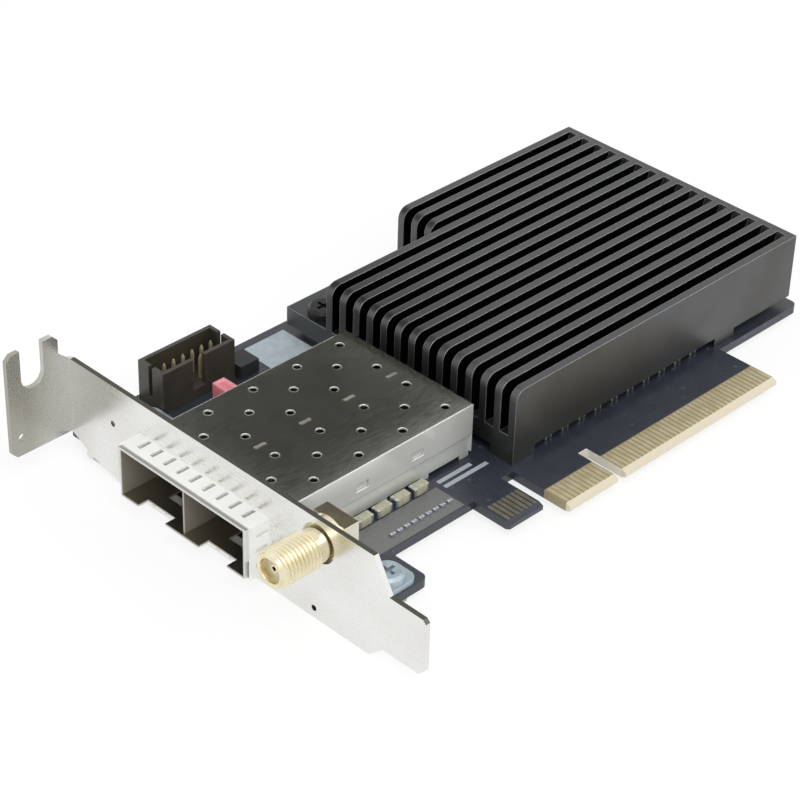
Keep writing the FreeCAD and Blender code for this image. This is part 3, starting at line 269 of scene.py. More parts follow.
@dataclass(frozen=True)
class SolderMask(Finish):
    """Glass laminate under solder mask: copper and vias show faintly, the contact edge is bare."""

    track_mm: float = 0.7
    track_span: Pair = (0.6, 0.85)
    track_share: float = 0.4
    track_tone: str = "#3b4049"
    region_mm: float = 7.0
    via_mm: float = 2.6
    via_span: Pair = (0.16, 0.10)
    via_share: float = 0.5
    via_tone: str = "#565b63"
    field_mm: Box = ((-46.0, 11.3, -0.4), (-24.0, 17.5, 0.4))
    field_tone: str = "#696969"
    opening_mm: Box = ((-13.0, -1.0, -2.0), (40.0, 5.5, 0.4))
    bare_tone: str = "#978b69"
    slot_mm: Box = ((-0.97, -1.0, -2.0), (0.97, 8.45, 0.4))
    slot_tone: str = "#dedace"
    bevel_mm: Pair = (0.92, 0.88)
    bevel_tone: str = "#d6ccb5"

    def paint(self, tree: Tree, place: Socket, colour: Socket) -> Socket:
        """Draw the tracks, the vias, the plain copper field, the bare contact edge and the routed notch.

        Args:
            tree: Node tree of the finish.
            place: Object coordinates.
            colour: Mottled tones of the mask.

        Returns:
            The colour with its pattern.
        """
        # About half of the regions have tracks across the card, the others along it.
        regions = add_node(
            tree,
            "TexVoronoi",
            {"distance": "CHEBYCHEV", "Scale": 1 / (self.region_mm * MM)},
            {"Vector": place},
            "Color",
        )
        heading = add_node(tree, "Math", {"operation": "GREATER_THAN", 1: 0.5}, {0: regions})
        # At a scale of one a wave repeats after a twentieth of a full turn.
        scale = math.tau / (20 * self.track_mm * MM)
        across, along = (
            add_node(tree, "TexWave", {"bands_direction": way, "Scale": scale}, {"Vector": place}, 1)
            for way in "XY"
        )
        tracks = add_node(tree, "Mix", {"data_type": "FLOAT"}, {0: heading, 2: across, 3: along})
        vias = add_node(
            tree, "TexVoronoi", {"Scale": 1 / (self.via_mm * MM)}, {"Vector": place}, "Distance"
        )
        for drawn, (start, full), most, tone in (
            (tracks, self.track_span, self.track_share, self.track_tone),
            (vias, self.via_span, self.via_share, self.via_tone),
        ):
            span = {"From Min": start, "From Max": full, "To Max": most}
            share = add_node(tree, "MapRange", span, {"Value": drawn})
            colour = self.lay(tree, share, colour, tone)
        for box_mm, tone in (
            (self.field_mm, self.field_tone),
            (self.opening_mm, self.bare_tone),
            (self.slot_mm, self.slot_tone),
        ):
            colour = self.lay(tree, self.within(tree, place, box_mm), colour, tone)
        up = add_node(tree, "SeparateXYZ", links={"Vector": place}, output="Y")
        start, full = self.bevel_mm
        span = {"From Min": start * MM, "From Max": full * MM}
        return self.lay(tree, add_node(tree, "MapRange", span, {"Value": up}), colour, self.bevel_tone)


@dataclass(frozen=True)
class LitWallMetal(Finish):
    """Metal whose upright walls are painted paler than its level top, a painted light."""

    wall_span: Pair = (0.9, 0.4)
    lit_wall_tone: str = "#d6d7d2"
    wall_metallic: float = 0.4

    def paint(self, tree: Tree, place: Socket, colour: Socket) -> Socket:
        """Lay the painted light on the upright walls.

        Args:
            tree: Node tree of the finish.
            place: Object coordinates.
            colour: Tones of the level top.

        Returns:
            The colour with its painted lighter walls.
        """
        level = add_node(tree, "Math", {"operation": "ABSOLUTE"}, {0: self.facing(tree, "Z")})
        start, full = self.wall_span
        wall = add_node(tree, "MapRange", {"From Min": start, "From Max": full}, {"Value": level})
        if self.wall_metallic != self.metallic:
            span = {"To Min": self.metallic, "To Max": self.wall_metallic}
            metal = add_node(tree, "MapRange", span, {"Value": wall})
            tree.links.new(metal, tree.nodes["Principled BSDF"].inputs["Metallic"])
        return self.lay(tree, wall, colour, self.lit_wall_tone)


@dataclass(frozen=True)
class ShadedTrough(LitWallMetal):
    """Such metal folded into the cage's trough: painted light on its outer walls, painted shade inside the
    ports.
    """

    inside_mm: Box = ((-62.0, 20.25, -3.0), (-14.0, 48.15, 11.0))
    inside_shade_tone: str = "#a8a295"

    def paint(self, tree: Tree, place: Socket, colour: Socket) -> Socket:
        """Lay the painted light on the walls, and the painted shade between the two outer ones."""
        colour = super().paint(tree, place, colour)
        return self.lay(tree, self.within(tree, place, self.inside_mm), colour, self.inside_shade_tone)


@dataclass(frozen=True)
class FinnedBlock(Finish):
    """Dark metal painted with shade: darkest on the walls of its sawn channels, and a little darker on its
    sawn tops than on its sides.
    """

    channels_mm: tuple[Box, ...] = (
        ((-11.5, 14.0, 4.0), (61.0, 55.8, 14.1)),
        ((14.9, 55.8, 4.0), (61.0, 65.0, 14.1)),
    )
    channel_shade_tone: str = "#1c1c1e"
    top_shade_tone: str = "#565759"

    def paint(self, tree: Tree, place: Socket, colour: Socket) -> Socket:
        """Lay painted shade on the level tops and on the walls of the channels.

        Args:
            tree: Node tree of the finish.
            place: Object coordinates.
            colour: Tones of the sides.

        Returns:
            The colour with its painted darker tops and its painted dark channels.
        """
        aside = add_node(tree, "Math", {"operation": "ABSOLUTE"}, {0: self.facing(tree, "Y")})
        top, wall = (
            add_node(tree, "Math", {"operation": "GREATER_THAN", 1: ALONG}, {0: turned})
            for turned in (self.facing(tree, "Z"), aside)
        )
        colour = self.lay(tree, top, colour, self.top_shade_tone)
        for box_mm in self.channels_mm:
            colour = self.lay(tree, self.within(tree, place, box_mm, wall), colour, self.channel_shade_tone)
        return colour


@dataclass(frozen=True)
class PlatedSheet(Finish):
    """Plated sheet with a painted shade towards its folded end and a painted dark reflection on its top
    edges.
    """

    # The painted shade deepens along this direction, between these two reaches.
    along: Point = (-2.0, 1.0, 0.0)
    end_shade_mm: Pair = (173.0, 197.0)
    end_shade_tone: str = "#a9a79d"
    edge_reflection_mm: Box = ((-58.0, -13.0, -4.0), (-56.0, 65.5, 17.0))
    edge_reflection_tone: str = "#57564f"
    upward: float = 0.7

    def paint(self, tree: Tree, place: Socket, colour: Socket) -> Socket:
        """Lay the painted shade on the folded end and the painted dark reflection on the top edges.

        Args:
            tree: Node tree of the finish.
            place: Object coordinates.
            colour: Bright tones of the sheet.

        Returns:
            The colour with its duller end and its bare edges.
        """
        way = {"operation": "DOT_PRODUCT", 1: self.along}
        reach = add_node(tree, "VectorMath", way, {0: place}, "Value")
        start, full = self.end_shade_mm
        span = {"From Min": start * MM, "From Max": full * MM}
        dull = add_node(tree, "MapRange", span, {"Value": reach})
        colour = self.lay(tree, dull, colour, self.end_shade_tone)
        steep = {"operation": "GREATER_THAN", 1: self.upward}
        edge = add_node(tree, "Math", steep, {0: self.facing(tree, "Z")})
        dark_edge = self.within(tree, place, self.edge_reflection_mm, edge)
        return self.lay(tree, dark_edge, colour, self.edge_reflection_tone)


# Glass-epoxy laminate under blue-black solder mask, screen printed and cured: a faintly uneven gloss.
BOARD_MASK = SolderMask(
    "solder_mask", "#2a2d36", "#30343e", (0.26, 0.36), grain_mm=(0.5, 0.5, 0.5), relief_mm=0.002
)
# Hard gold over nickel, electroplated: a pale satin that wipes lighter along the insertion line.
HARD_GOLD = Finish(
    "hard_gold_plate", "#d0c6a8", "#c2b48c", (0.34, 0.46), 0.55, cloud_mm=2.0, grain_mm=(0.15, 1.2, 0.15)
)
# The same plate on the sideband edge as a darker shaded copy, a painted shade: a dull grey with a trace of
# yellow.
SHADED_GOLD = Finish(
    "shaded_gold_plate", "#7f7a69", "#6e6a5a", (0.40, 0.52), 0.55, cloud_mm=1.5, grain_mm=(0.15, 1.2, 0.15)
)
# Nickel over steel sheet, rolled and plated: a bright satin, with faint rolling lines along the sheet, a
# painted shade towards its folded end and a painted dark reflection on its top edges.
BRACKET_STEEL = PlatedSheet(
    "bright_nickel_steel", "#ededeb", "#e5e4e1", (0.24, 0.32), 1.0,
    cloud_mm=14.0, grain_mm=(0.4, 6.0, 0.4), relief_mm=0.0008, edge_mm=0.07,
)
# Spring steel under bright tin, blanked and bowed: whiter than the bracket and a little frosted.
COLLAR_SPRING = Finish(
    "tinned_spring_steel", "#fdfdfb", "#f7f7f4", (0.16, 0.24), 0.5,
    cloud_mm=6.0, grain_mm=(2.0, 0.3, 0.3), relief_mm=0.0008, edge_mm=0.06,
)
# Clear zinc over steel, barrel plated: a blue-white, half matt skin that stays light from every side.
CLEAR_ZINC = Finish(
    "clear_zinc_steel", "#a9b7bf", "#9aa8b1", (0.40, 0.52), 0.45, cloud_mm=2.0, edge_wear_and_highlight_tone="#eef3f5"
)
# Tinned copper alloy sheet, stamped: duller than the bracket, with a fine drawn grain along the card, and
# painted light on its upright walls.
COVER_TIN = LitWallMetal(
    "tinned_cover_sheet", "#acaca6", "#a0a09a", (0.15, 0.23), 1.0,
    cloud_mm=9.0, grain_mm=(2.5, 0.25, 0.25), relief_mm=0.001, edge_mm=0.3, edge_wear_and_highlight_tone="#f6f6f3",
)
# The same sheet folded into the trough, a darker shaded copy: painted light on its walls, and a painted shade
# of softer grey inside the ports.
TROUGH_TIN = ShadedTrough(
    "tinned_trough_sheet", "#8f8f89", "#82827c", (0.28, 0.38), 1.0,
    cloud_mm=7.0, grain_mm=(2.5, 0.25, 0.25), relief_mm=0.001, edge_mm=0.12, edge_wear_and_highlight_tone="#dcdcd8",
)
# Zinc-plated steel, turned and rolled: a soft grey shine with a cloudy passivation.
ZINC_SCREW = Finish(
    "zinc_plated_steel", "#b4b5b2", "#a3a39d", (0.24, 0.36), 1.0, cloud_mm=1.2, edge_wear_and_highlight_tone="#e2e2de"
)
# Black oxide on a steel screw: dark, slightly oily, with grey edges, part rubbed and part painted highlight.
BLACK_SCREW = Finish(
    "black_oxide_steel", "#2c2c2d", "#232324", (0.34, 0.44), 0.5, cloud_mm=1.0, edge_wear_and_highlight_tone="#5a5a5a"
)
# Black anodised aluminium, extruded and sawn: dark satin metal with saw lines along the fins, paler edges
# that are part rubbed and part painted highlight, and painted shade on its tops and in its channels.
BLACK_ANODISED = FinnedBlock(
    "black_anodised_aluminium", "#616264", "#575654", (0.34, 0.44), 0.92,
    cloud_mm=16.0, grain_mm=(9.0, 0.18, 0.18), relief_mm=0.003, edge_mm=0.2, edge_wear_and_highlight_tone="#a2a2a2",
)
# Glass-filled polyester, moulded: near black with a fine eggshell grain.
BLACK_POLYESTER = Finish(
    "black_moulded_polyester", "#24231f", "#1d1c1a", (0.42, 0.55), grain_mm=(0.12, 0.12, 0.12)
)
# Unfilled polyester of the pin header, moulded: a brownish black with a smoother skin and grey edges.
HEADER_POLYESTER = Finish(
    "header_moulded_polyester", "#403c33", "#35312a", (0.30, 0.42),
    grain_mm=(0.2, 0.2, 0.2), edge_wear_and_highlight_tone="#66625a",
)
# Red polyester, moulded: a glossy cap with much paler edges, part rubbed and part painted highlight.
RED_POLYESTER = Finish(
    "red_moulded_polyester", "#df7f87", "#d2707a", (0.26, 0.36),
    cloud_mm=1.5, edge_mm=0.35, edge_wear_and_highlight_tone="#f6cdd0",
)
# Fluoropolymer, turned: a waxy, milky white.
WHITE_FLUOROPOLYMER = Finish("white_fluoropolymer", "#e6e2d6", "#dcd6c6", (0.4, 0.5), cloud_mm=1.0)
# Coated label stock, printed a pale blue-white all over: flat with a faint fibre.
LABEL_PAPER = Finish(
    "label_stock", "#b1bdc4", "#a3aeb6", (0.5, 0.62), cloud_mm=1.6, grain_mm=(0.1, 0.35, 0.1), relief_mm=0.003
)
# Sintered capacitor ceramic: a pale greenish cream with a dull tooth.
CREAM_CERAMIC = Finish("cream_sintered_ceramic", "#b3b199", "#a3a18a", (0.4, 0.55), cloud_mm=0.6)
# Sintered capacitor ceramic as a darker shaded copy, painted shade for the chips in the shadow under the
# sink's wall: a brownish black.
SHADED_CERAMIC = Finish("shaded_sintered_ceramic", "#34322e", "#2a2826", (0.4, 0.55), cloud_mm=0.6)
# Sintered resistor and capacitor ceramic of a cooler tone.
GREY_CERAMIC = Finish("grey_sintered_ceramic", "#9aa4b4", "#8791a3", (0.4, 0.55), cloud_mm=0.5)
# Reflowed tin solder: bright, with the frosted skin of slow cooling.
REFLOWED_TIN = Finish(
    "reflowed_tin", "#d6d7d6", "#c4c5c3", (0.22, 0.4), 1.0, cloud_mm=0.5, grain_mm=(0.1, 0.1, 0.1)
)
# Epoxy moulding compound on chips: charcoal with a sparkle of filler.
CHIP_EPOXY = Finish("epoxy_moulding_compound", "#2a2a2c", "#222224", (0.5, 0.62), grain_mm=(0.08, 0.08, 0.08))
# Iron powder pressed in resin: a dark grey block with a sandy skin and paler corners, part rubbed and part
# painted highlight.
PRESSED_IRON = Finish(
    "pressed_iron_powder", "#2a2b2e", "#232426", (0.45, 0.58), grain_mm=(0.15, 0.15, 0.15), relief_mm=0.01,
    edge_wear_and_highlight_tone="#4a4b4f",
)
# Package substrate: green-brown laminate.
SUBSTRATE_LAMINATE = Finish("package_laminate", "#4a5a3c", "#415034", (0.35, 0.45))
# Nickel-plated copper lid: a matt silver blasted skin.
NICKEL_LID = Finish("blasted_nickel_lid", "#b9b8b2", "#aeada6", (0.35, 0.48), 1.0, cloud_mm=5.0)
# Silicone gap pad: soft, dusty grey.
SILICONE_PAD = Finish(
    "silicone_gap_pad", "#8f949a", "#848990", (0.7, 0.85), grain_mm=(0.4, 0.4, 0.4), relief_mm=0.02
)
# Thin gold over brass, turned: a pale warm metal with tool marks round it.
TURNED_GOLD = Finish(
    "gold_plated_brass", "#f1e9cd", "#e2d7b4", (0.2, 0.3), 1.0,
    cloud_mm=2.5, grain_mm=(0.12, 1.5, 1.5), relief_mm=0.001, edge_wear_and_highlight_tone="#f6efd8",
)
# Nickel silver, milled: a grey-yellow block, with painted light on its sides and a painted brown shade on its
# level top.
NICKEL_SILVER = LitWallMetal(
    "milled_nickel_silver", "#7a7360", "#6b6553", (0.13, 0.2), 1.0,
    cloud_mm=2.0, edge_mm=0.12, edge_wear_and_highlight_tone="#ecebe2", lit_wall_tone="#d6d2c2", wall_metallic=1.0,
)
# Screen-printed epoxy ink: a flat off-white with slightly broken edges.
PRINT_INK = Finish("screen_print_ink", "#aab2ba", "#9aa2ab", (0.5, 0.6), cloud_mm=0.4, edge_mm=0.01)


def only(piece: Piece) -> None:
    """Select one piece alone and make it the active one.

    Args:
        piece: That piece.
    """
    bpy.ops.object.select_all(action="DESELECT")
    piece.select_set(True)
    bpy.context.view_layer.objects.active = piece


def named(name: str) -> Piece:
    """Name the active piece and its mesh.

    Args:
        name: Their name.

    Returns:
        The piece.
    """
    piece = bpy.context.object
    piece.name = name
    piece.data.name = name
    return piece


def started(name: str) -> Piece:
    """Name the active piece and put its place, turn and scale into its mesh."""
    bpy.ops.object.transform_apply(location=True, rotation=True, scale=True)
    return named(name)


def smooth(piece: Piece, degrees: float) -> None:
    """Shade a piece smooth, apart from edges sharper than an angle."""
    only(piece)
    bpy.ops.object.shade_smooth_by_angle(angle=math.radians(degrees))


def add_box(name: str, low: Vector, high: Vector) -> Piece:
    """Add a box between two corners, as the start of a piece.

    Args:
        name: Name of the piece.
        low: Lowest corner in metres.
        high: Highest corner in metres.

    Returns:
        The box, its place in its mesh.
    """
    bpy.ops.object.select_all(action="DESELECT")
    bpy.ops.mesh.primitive_cube_add(size=1.0, location=(low + high) / 2)
    bpy.context.object.scale = high - low
    return started(name)


@contextmanager
def editing(piece: Piece, pick: Pick) -> Iterator[None]:
    """Hold a piece in edit mode, with nothing selected at the start.

    Args:
        piece: Piece that is shaped.
        pick: What is selected.

    Yields:
        Nothing.
    """
    only(piece)
    bpy.ops.object.mode_set(mode="EDIT")
    bpy.ops.mesh.select_mode(type=pick.value)
    bpy.ops.mesh.select_all(action="DESELECT")
    yield
    bpy.ops.object.mode_set(mode="OBJECT")


def pick_faces(piece: Piece, test: Callable[[Vector, Vector], bool]) -> None:
    """Select, in edit mode, only the faces whose middle and normal pass a test.

    Args:
        piece: Piece in edit mode.
        test: Test of a face's middle and normal.
    """
    bpy.ops.mesh.select_all(action="DESELECT")
    mesh = bmesh.from_edit_mesh(piece.data)
    for face in mesh.faces:
        if test(face.calc_center_median(), face.normal):
            face.select_set(True)
    bmesh.update_edit_mesh(piece.data)


def pick_edges(piece: Piece, test: Callable[[Vector], bool]) -> None:
    """Select, in edit mode, only the edges whose two ends pass a test.

    Args:
        piece: Piece in edit mode.
        test: Test of one end.
    """
    bpy.ops.mesh.select_mode(type=Pick.EDGE.value)
    bpy.ops.mesh.select_all(action="DESELECT")
    mesh = bmesh.from_edit_mesh(piece.data)
    for edge in mesh.edges:
        if all(test(end.co) for end in edge.verts):
            edge.select_set(True)
    bmesh.update_edit_mesh(piece.data)


def extrude_by(step: Vector) -> None:
    """Extrude what is selected by a step in metres."""
    bpy.ops.mesh.extrude_region_move(TRANSFORM_OT_translate={"value": step})


def modify(piece: Piece, kind: str, **settings: Any) -> None:
    """Add a modifier to a piece, set it and apply it.

    Args:
        piece: Piece that takes the modifier.
        kind: Type name of the modifier.
        settings: The modifier's settings.
    """
    only(piece)
    modifier = piece.modifiers.new(kind.lower(), kind)
    for key, value in settings.items():
        setattr(modifier, key, value)
    bpy.ops.object.modifier_apply(modifier=modifier.name)


def join(name: str, parts: list[Piece]) -> Piece:
    """Join several shapes into one piece.

    Args:
        name: Name of the piece.
        parts: Shapes that are joined.

    Returns:
        The joined piece.
    """
    only(parts[0])
    for part in parts:
        part.select_set(True)
    if len(parts) > 1:
        bpy.ops.object.join()
    return named(name)


def repeat(name: str, first: Piece, places_mm: Sequence[Pair]) -> Piece:
    """Copy a shape from the first of several places on the board to the others and join all.

    Args:
        name: Name of the piece.
        first: Shape at the first place.
        places_mm: The places, across and up the board.

    Returns:
        The joined piece.
    """
    (across, up), *others = places_mm
    parts = [first]
    for place in others:
        only(first)
        bpy.ops.object.duplicate(linked=False)
        bpy.context.object.location = metres(place[0] - across, place[1] - up, 0)
        bpy.ops.object.transform_apply(location=True, rotation=True, scale=True)
        parts.append(bpy.context.object)
    return join(name, parts)


def settle(piece: Piece, slot: str, *nodes: str) -> None:
    """Seat a finished piece on the card and report it.

    Args:
        piece: Finished piece.
        slot: Material slot of the record that its finish belongs to; not used.
        nodes: CAD nodes that it stands for.
    """
    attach(piece, BODY)
    if nodes:
        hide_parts(*nodes)
    LOG.info("%s: %d faces", piece.name, len(piece.data.polygons))


def coat(piece: Piece, *finishes: Finish) -> None:
    """Give a piece its finishes, one for each of its slots.

    Args:
        piece: The piece.
        finishes: Its finishes in order.
    """
    piece.data.materials.clear()
    for finish in finishes:
        piece.data.materials.append(finish.material())


def dress(finish: Finish, *nodes: str) -> None:
    """Give CAD nodes a finish and report them.

    Args:
        finish: Finish that the nodes get.
        nodes: Names of the nodes.
    """
    for node in nodes:
        coat(bpy.data.objects[node], finish)
        LOG.info("%s: %s", node, finish.name)


@dataclass
class CircuitBoard:
    """The board with its plated fingers, its printed bars and its solder joints."""

    joint_places_mm: list[Pair]
    print_mm: float = 0.03
    print_dip_mm: float = 0.01
    frame_mm: float = 0.25
    frame_gap_mm: float = 0.4
    bars_mm: Pair = (-23.0, 16.2)
    bar_lengths_mm: tuple[float, ...] = (9.6, 7.4)
    bar_mm: float = 0.8
    bar_pitch_mm: float = 1.5
    joint_mm: float = 1.7
    joint_tip_mm: float = 0.8
    joint_height_mm: float = 0.7
    joint_sides: int = 12
    joint_slump: float = 0.3
    joint_smooth_deg: float = 50.0
    back_mm: float = -1.57

    def build(self) -> None:
        """Make the print and the solder joints."""
        self.build_print()
        self.build_joints()

    def build_bar(self, low: Pair, high: Pair) -> Piece:
        """Make one printed bar, a film that is thinner inside its rim.

        Args:
            low: Lowest corner on the board in millimetres.
            high: Highest corner on the board in millimetres.

        Returns:
            The bar.
        """
        bar = add_box("bar", metres(*low, 0.0), metres(*high, self.print_mm))
        with editing(bar, Pick.FACE):
            pick_faces(bar, lambda middle, normal: normal.z > ALONG)
            bpy.ops.mesh.inset(thickness=self.print_mm * MM)
            bpy.ops.transform.translate(value=metres(0, 0, -self.print_dip_mm))
        return bar

    def build_print(self) -> None:
        """Print plain bars beside the cage and on both sides of the jumper."""
        low, high = (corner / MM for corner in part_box("jumper_base"))
        near, far = self.frame_gap_mm, self.frame_gap_mm + self.frame_mm
        bars = []
        for start, end in ((low.y - far, low.y - near), (high.y + near, high.y + far)):
            bars.append(self.build_bar((low.x - far, start), (high.x + far, end)))
        across, up = self.bars_mm
        for length in self.bar_lengths_mm:
            bars.append(self.build_bar((across, up), (across + length, up + self.bar_mm)))
            up += self.bar_pitch_mm
        piece = join("board_print", bars)
        coat(piece, PRINT_INK)
        settle(piece, "board")

    def build_joints(self) -> None:
        """Make the solder joints of the header and the jumper on the solder side."""
        bpy.ops.object.select_all(action="DESELECT")
        bpy.ops.mesh.primitive_cone_add(
            vertices=self.joint_sides,
            radius1=self.joint_tip_mm / 2 * MM,
            radius2=self.joint_mm / 2 * MM,
            depth=self.joint_height_mm * MM,
            location=metres(*self.joint_places_mm[0], self.back_mm - self.joint_height_mm / 2),
        )
        first = started("solder_joint")
        with editing(first, Pick.FACE):
            pick_faces(first, lambda middle, normal: abs(normal.z) < ALONG)
            bpy.ops.mesh.subdivide(number_cuts=1)
            bpy.ops.mesh.select_all(action="SELECT")
            bpy.ops.mesh.vertices_smooth(factor=self.joint_slump)
        smooth(first, self.joint_smooth_deg)
        piece = repeat("pin_solder_joints", first, self.joint_places_mm)
        coat(piece, REFLOWED_TIN)
        settle(piece, "fastener_steel")

    def dress(self) -> None:
        """Finish the board, its fingers and its label."""
        dress(BOARD_MASK, "circuit_board")
        dress(HARD_GOLD, "edge_contacts_upper", "edge_contacts_lower")
        dress(SHADED_GOLD, "sideband_contacts_upper", "sideband_contacts_lower")
        dress(LABEL_PAPER, "blank_label")


@dataclass
class Bracket:
    """The folded bracket with its two feet and their fasteners."""

    def dress(self) -> None:
        """Finish the sheet and the fasteners."""
        dress(BRACKET_STEEL, "io_bracket", "foot_rivets")
        dress(CLEAR_ZINC, "upper_foot", "lower_foot", "foot_screws")
        dress(ZINC_SCREW, "board_nuts")


@dataclass
class PortCage:
    """The two-port cage with its spring collar and the sockets at its back."""

    ring_span_mm: Pair = (-57.12, -56.32)
    ring_mm: float = 0.13
    play_mm: float = 0.01
    ring_round_mm: float = 0.04
    smooth_deg: float = 40.0

    def build(self) -> None:
        """Make the collar's contact ring, which bears on the bracket's window."""
        low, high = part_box("cage_collar")
        reach = metres(0, self.ring_mm + self.play_mm, self.ring_mm + self.play_mm)
        low.x, high.x = metres(*self.ring_span_mm)
        ring = add_box("collar_contact_ring", low - reach, high + reach)
        with editing(ring, Pick.FACE):
            pick_faces(ring, lambda middle, normal: abs(normal.x) > ALONG)
            bpy.ops.mesh.inset(thickness=self.ring_mm * MM)
            bpy.ops.mesh.bridge_edge_loops()
            bpy.ops.mesh.select_all(action="SELECT")
            bpy.ops.mesh.normals_make_consistent(inside=False)
        modify(ring, "BEVEL", width=self.ring_round_mm * MM, segments=2, limit_method="ANGLE")
        smooth(ring, self.smooth_deg)
        coat(ring, COLLAR_SPRING)
        settle(ring, "cage_steel")

    def dress(self) -> None:
        """Finish the sheets, the collar, the sockets and their contacts."""
        dress(COVER_TIN, "cage_cover")
        dress(TROUGH_TIN, "cage_base", "cage_divider")
        dress(COLLAR_SPRING, "cage_collar")
        dress(BLACK_POLYESTER, "upper_port_socket", "lower_port_socket")
        dress(HARD_GOLD, "upper_port_contacts", "lower_port_contacts")


@dataclass
class CoaxJack:
    """The threaded coaxial jack on its block."""

    axis_mm: Pair = (9.2, 11.2)
    front_mm: float = -66.65
    relief_mm: float = -58.15
    flange_mm: float = -56.29
    back_mm: float = -55.09
    crest_mm: float = 3.175
    root_mm: float = 2.72
    core_mm: float = 2.8
    bore_mm: float = 2.05
    bore_depth_mm: float = 3.0
    flange_radius_mm: float = 3.9
    rim_mm: float = 0.1
    lead_mm: float = 0.3
    pitch_mm: float = 0.7056
    ridge_width_mm: float = 0.6
    sides: int = 48
    smooth_deg: float = 35.0

    def build(self) -> None:
        """Make the turned barrel with its thread."""
        piece = join("coax_threaded_barrel", [self.build_core(), self.build_ridge()])
        smooth(piece, self.smooth_deg)
        coat(piece, TURNED_GOLD)
        settle(piece, "gold", "coax_barrel")

    def build_core(self) -> Piece:
        """Turn the barrel under the thread, with its flange, its lead and its bore.

        Returns:
            The core.
        """
        length = self.flange_mm - self.front_mm
        centre = metres(self.flange_mm, *self.axis_mm)
        bpy.ops.object.select_all(action="DESELECT")
        bpy.ops.mesh.primitive_cylinder_add(
            vertices=self.sides,
            radius=self.core_mm * MM,
            depth=length * MM,
            location=metres(self.front_mm + length / 2, *self.axis_mm),
            rotation=(0.0, math.pi / 2, 0.0),
        )
        core = started("coax_core")
        grow = self.flange_radius_mm / self.core_mm
        with editing(core, Pick.FACE):
            pick_faces(core, lambda middle, normal: normal.x > ALONG)
            extrude_by(Vector())
            bpy.ops.transform.resize(value=(1.0, grow, grow), center_override=centre)
            extrude_by(metres(self.back_mm - self.flange_mm, 0, 0))
            pick_faces(core, lambda middle, normal: normal.x < -ALONG and middle.x < centre.x - MM)
            bpy.ops.mesh.inset(thickness=(self.core_mm - self.bore_mm) * MM)
            extrude_by(metres(self.bore_depth_mm, 0, 0))
            pick_edges(core, lambda end: abs(end.x - self.front_mm * MM) < SAME)
            bpy.ops.mesh.bevel(offset=self.rim_mm * MM, segments=2)
        return core

    def build_ridge(self) -> Piece:
        """Sweep the thread's ridge along its helix and close its two ends.

        Returns:
            The ridge.
        """
        # A triangle's corners lie two thirds of its height from its middle.
        corner = (self.crest_mm - self.root_mm) / 1.5
        start = self.front_mm + self.lead_mm + self.ridge_width_mm / 2
        turns = math.floor((self.relief_mm - self.ridge_width_mm / 2 - start) / self.pitch_mm)
        bpy.ops.object.select_all(action="DESELECT")
        bpy.ops.mesh.primitive_circle_add(
            vertices=3, radius=corner * MM, fill_type="NOTHING", location=metres(start, *self.axis_mm)
        )
        ridge = bpy.context.object
        wide = self.ridge_width_mm / (math.sqrt(3) * corner)
        with editing(ridge, Pick.EDGE):
            bpy.ops.mesh.select_all(action="SELECT")
            bpy.ops.transform.resize(value=(wide, 1.0, 1.0), center_override=ridge.location)
            bpy.ops.transform.translate(value=metres(0, self.root_mm + corner / 2, 0))
        modify(
            ridge, "SCREW", axis="X", angle=math.tau, screw_offset=self.pitch_mm * MM, iterations=turns,
            steps=self.sides, render_steps=self.sides, use_normal_calculate=True,
        )
        started("coax_ridge")
        with editing(ridge, Pick.EDGE):
            bpy.ops.mesh.select_non_manifold()
            bpy.ops.mesh.edge_face_add()
            bpy.ops.mesh.select_all(action="SELECT")
            bpy.ops.mesh.remove_doubles(threshold=MERGED)
            bpy.ops.mesh.normals_make_consistent(inside=False)
        return ridge

    def dress(self) -> None:
        """Finish the jack's other pieces."""
        dress(TURNED_GOLD, "coax_barrel", "coax_contact")
        dress(NICKEL_SILVER, "coax_body", "coax_pedestal")
        dress(WHITE_FLUOROPOLYMER, "coax_insulator")


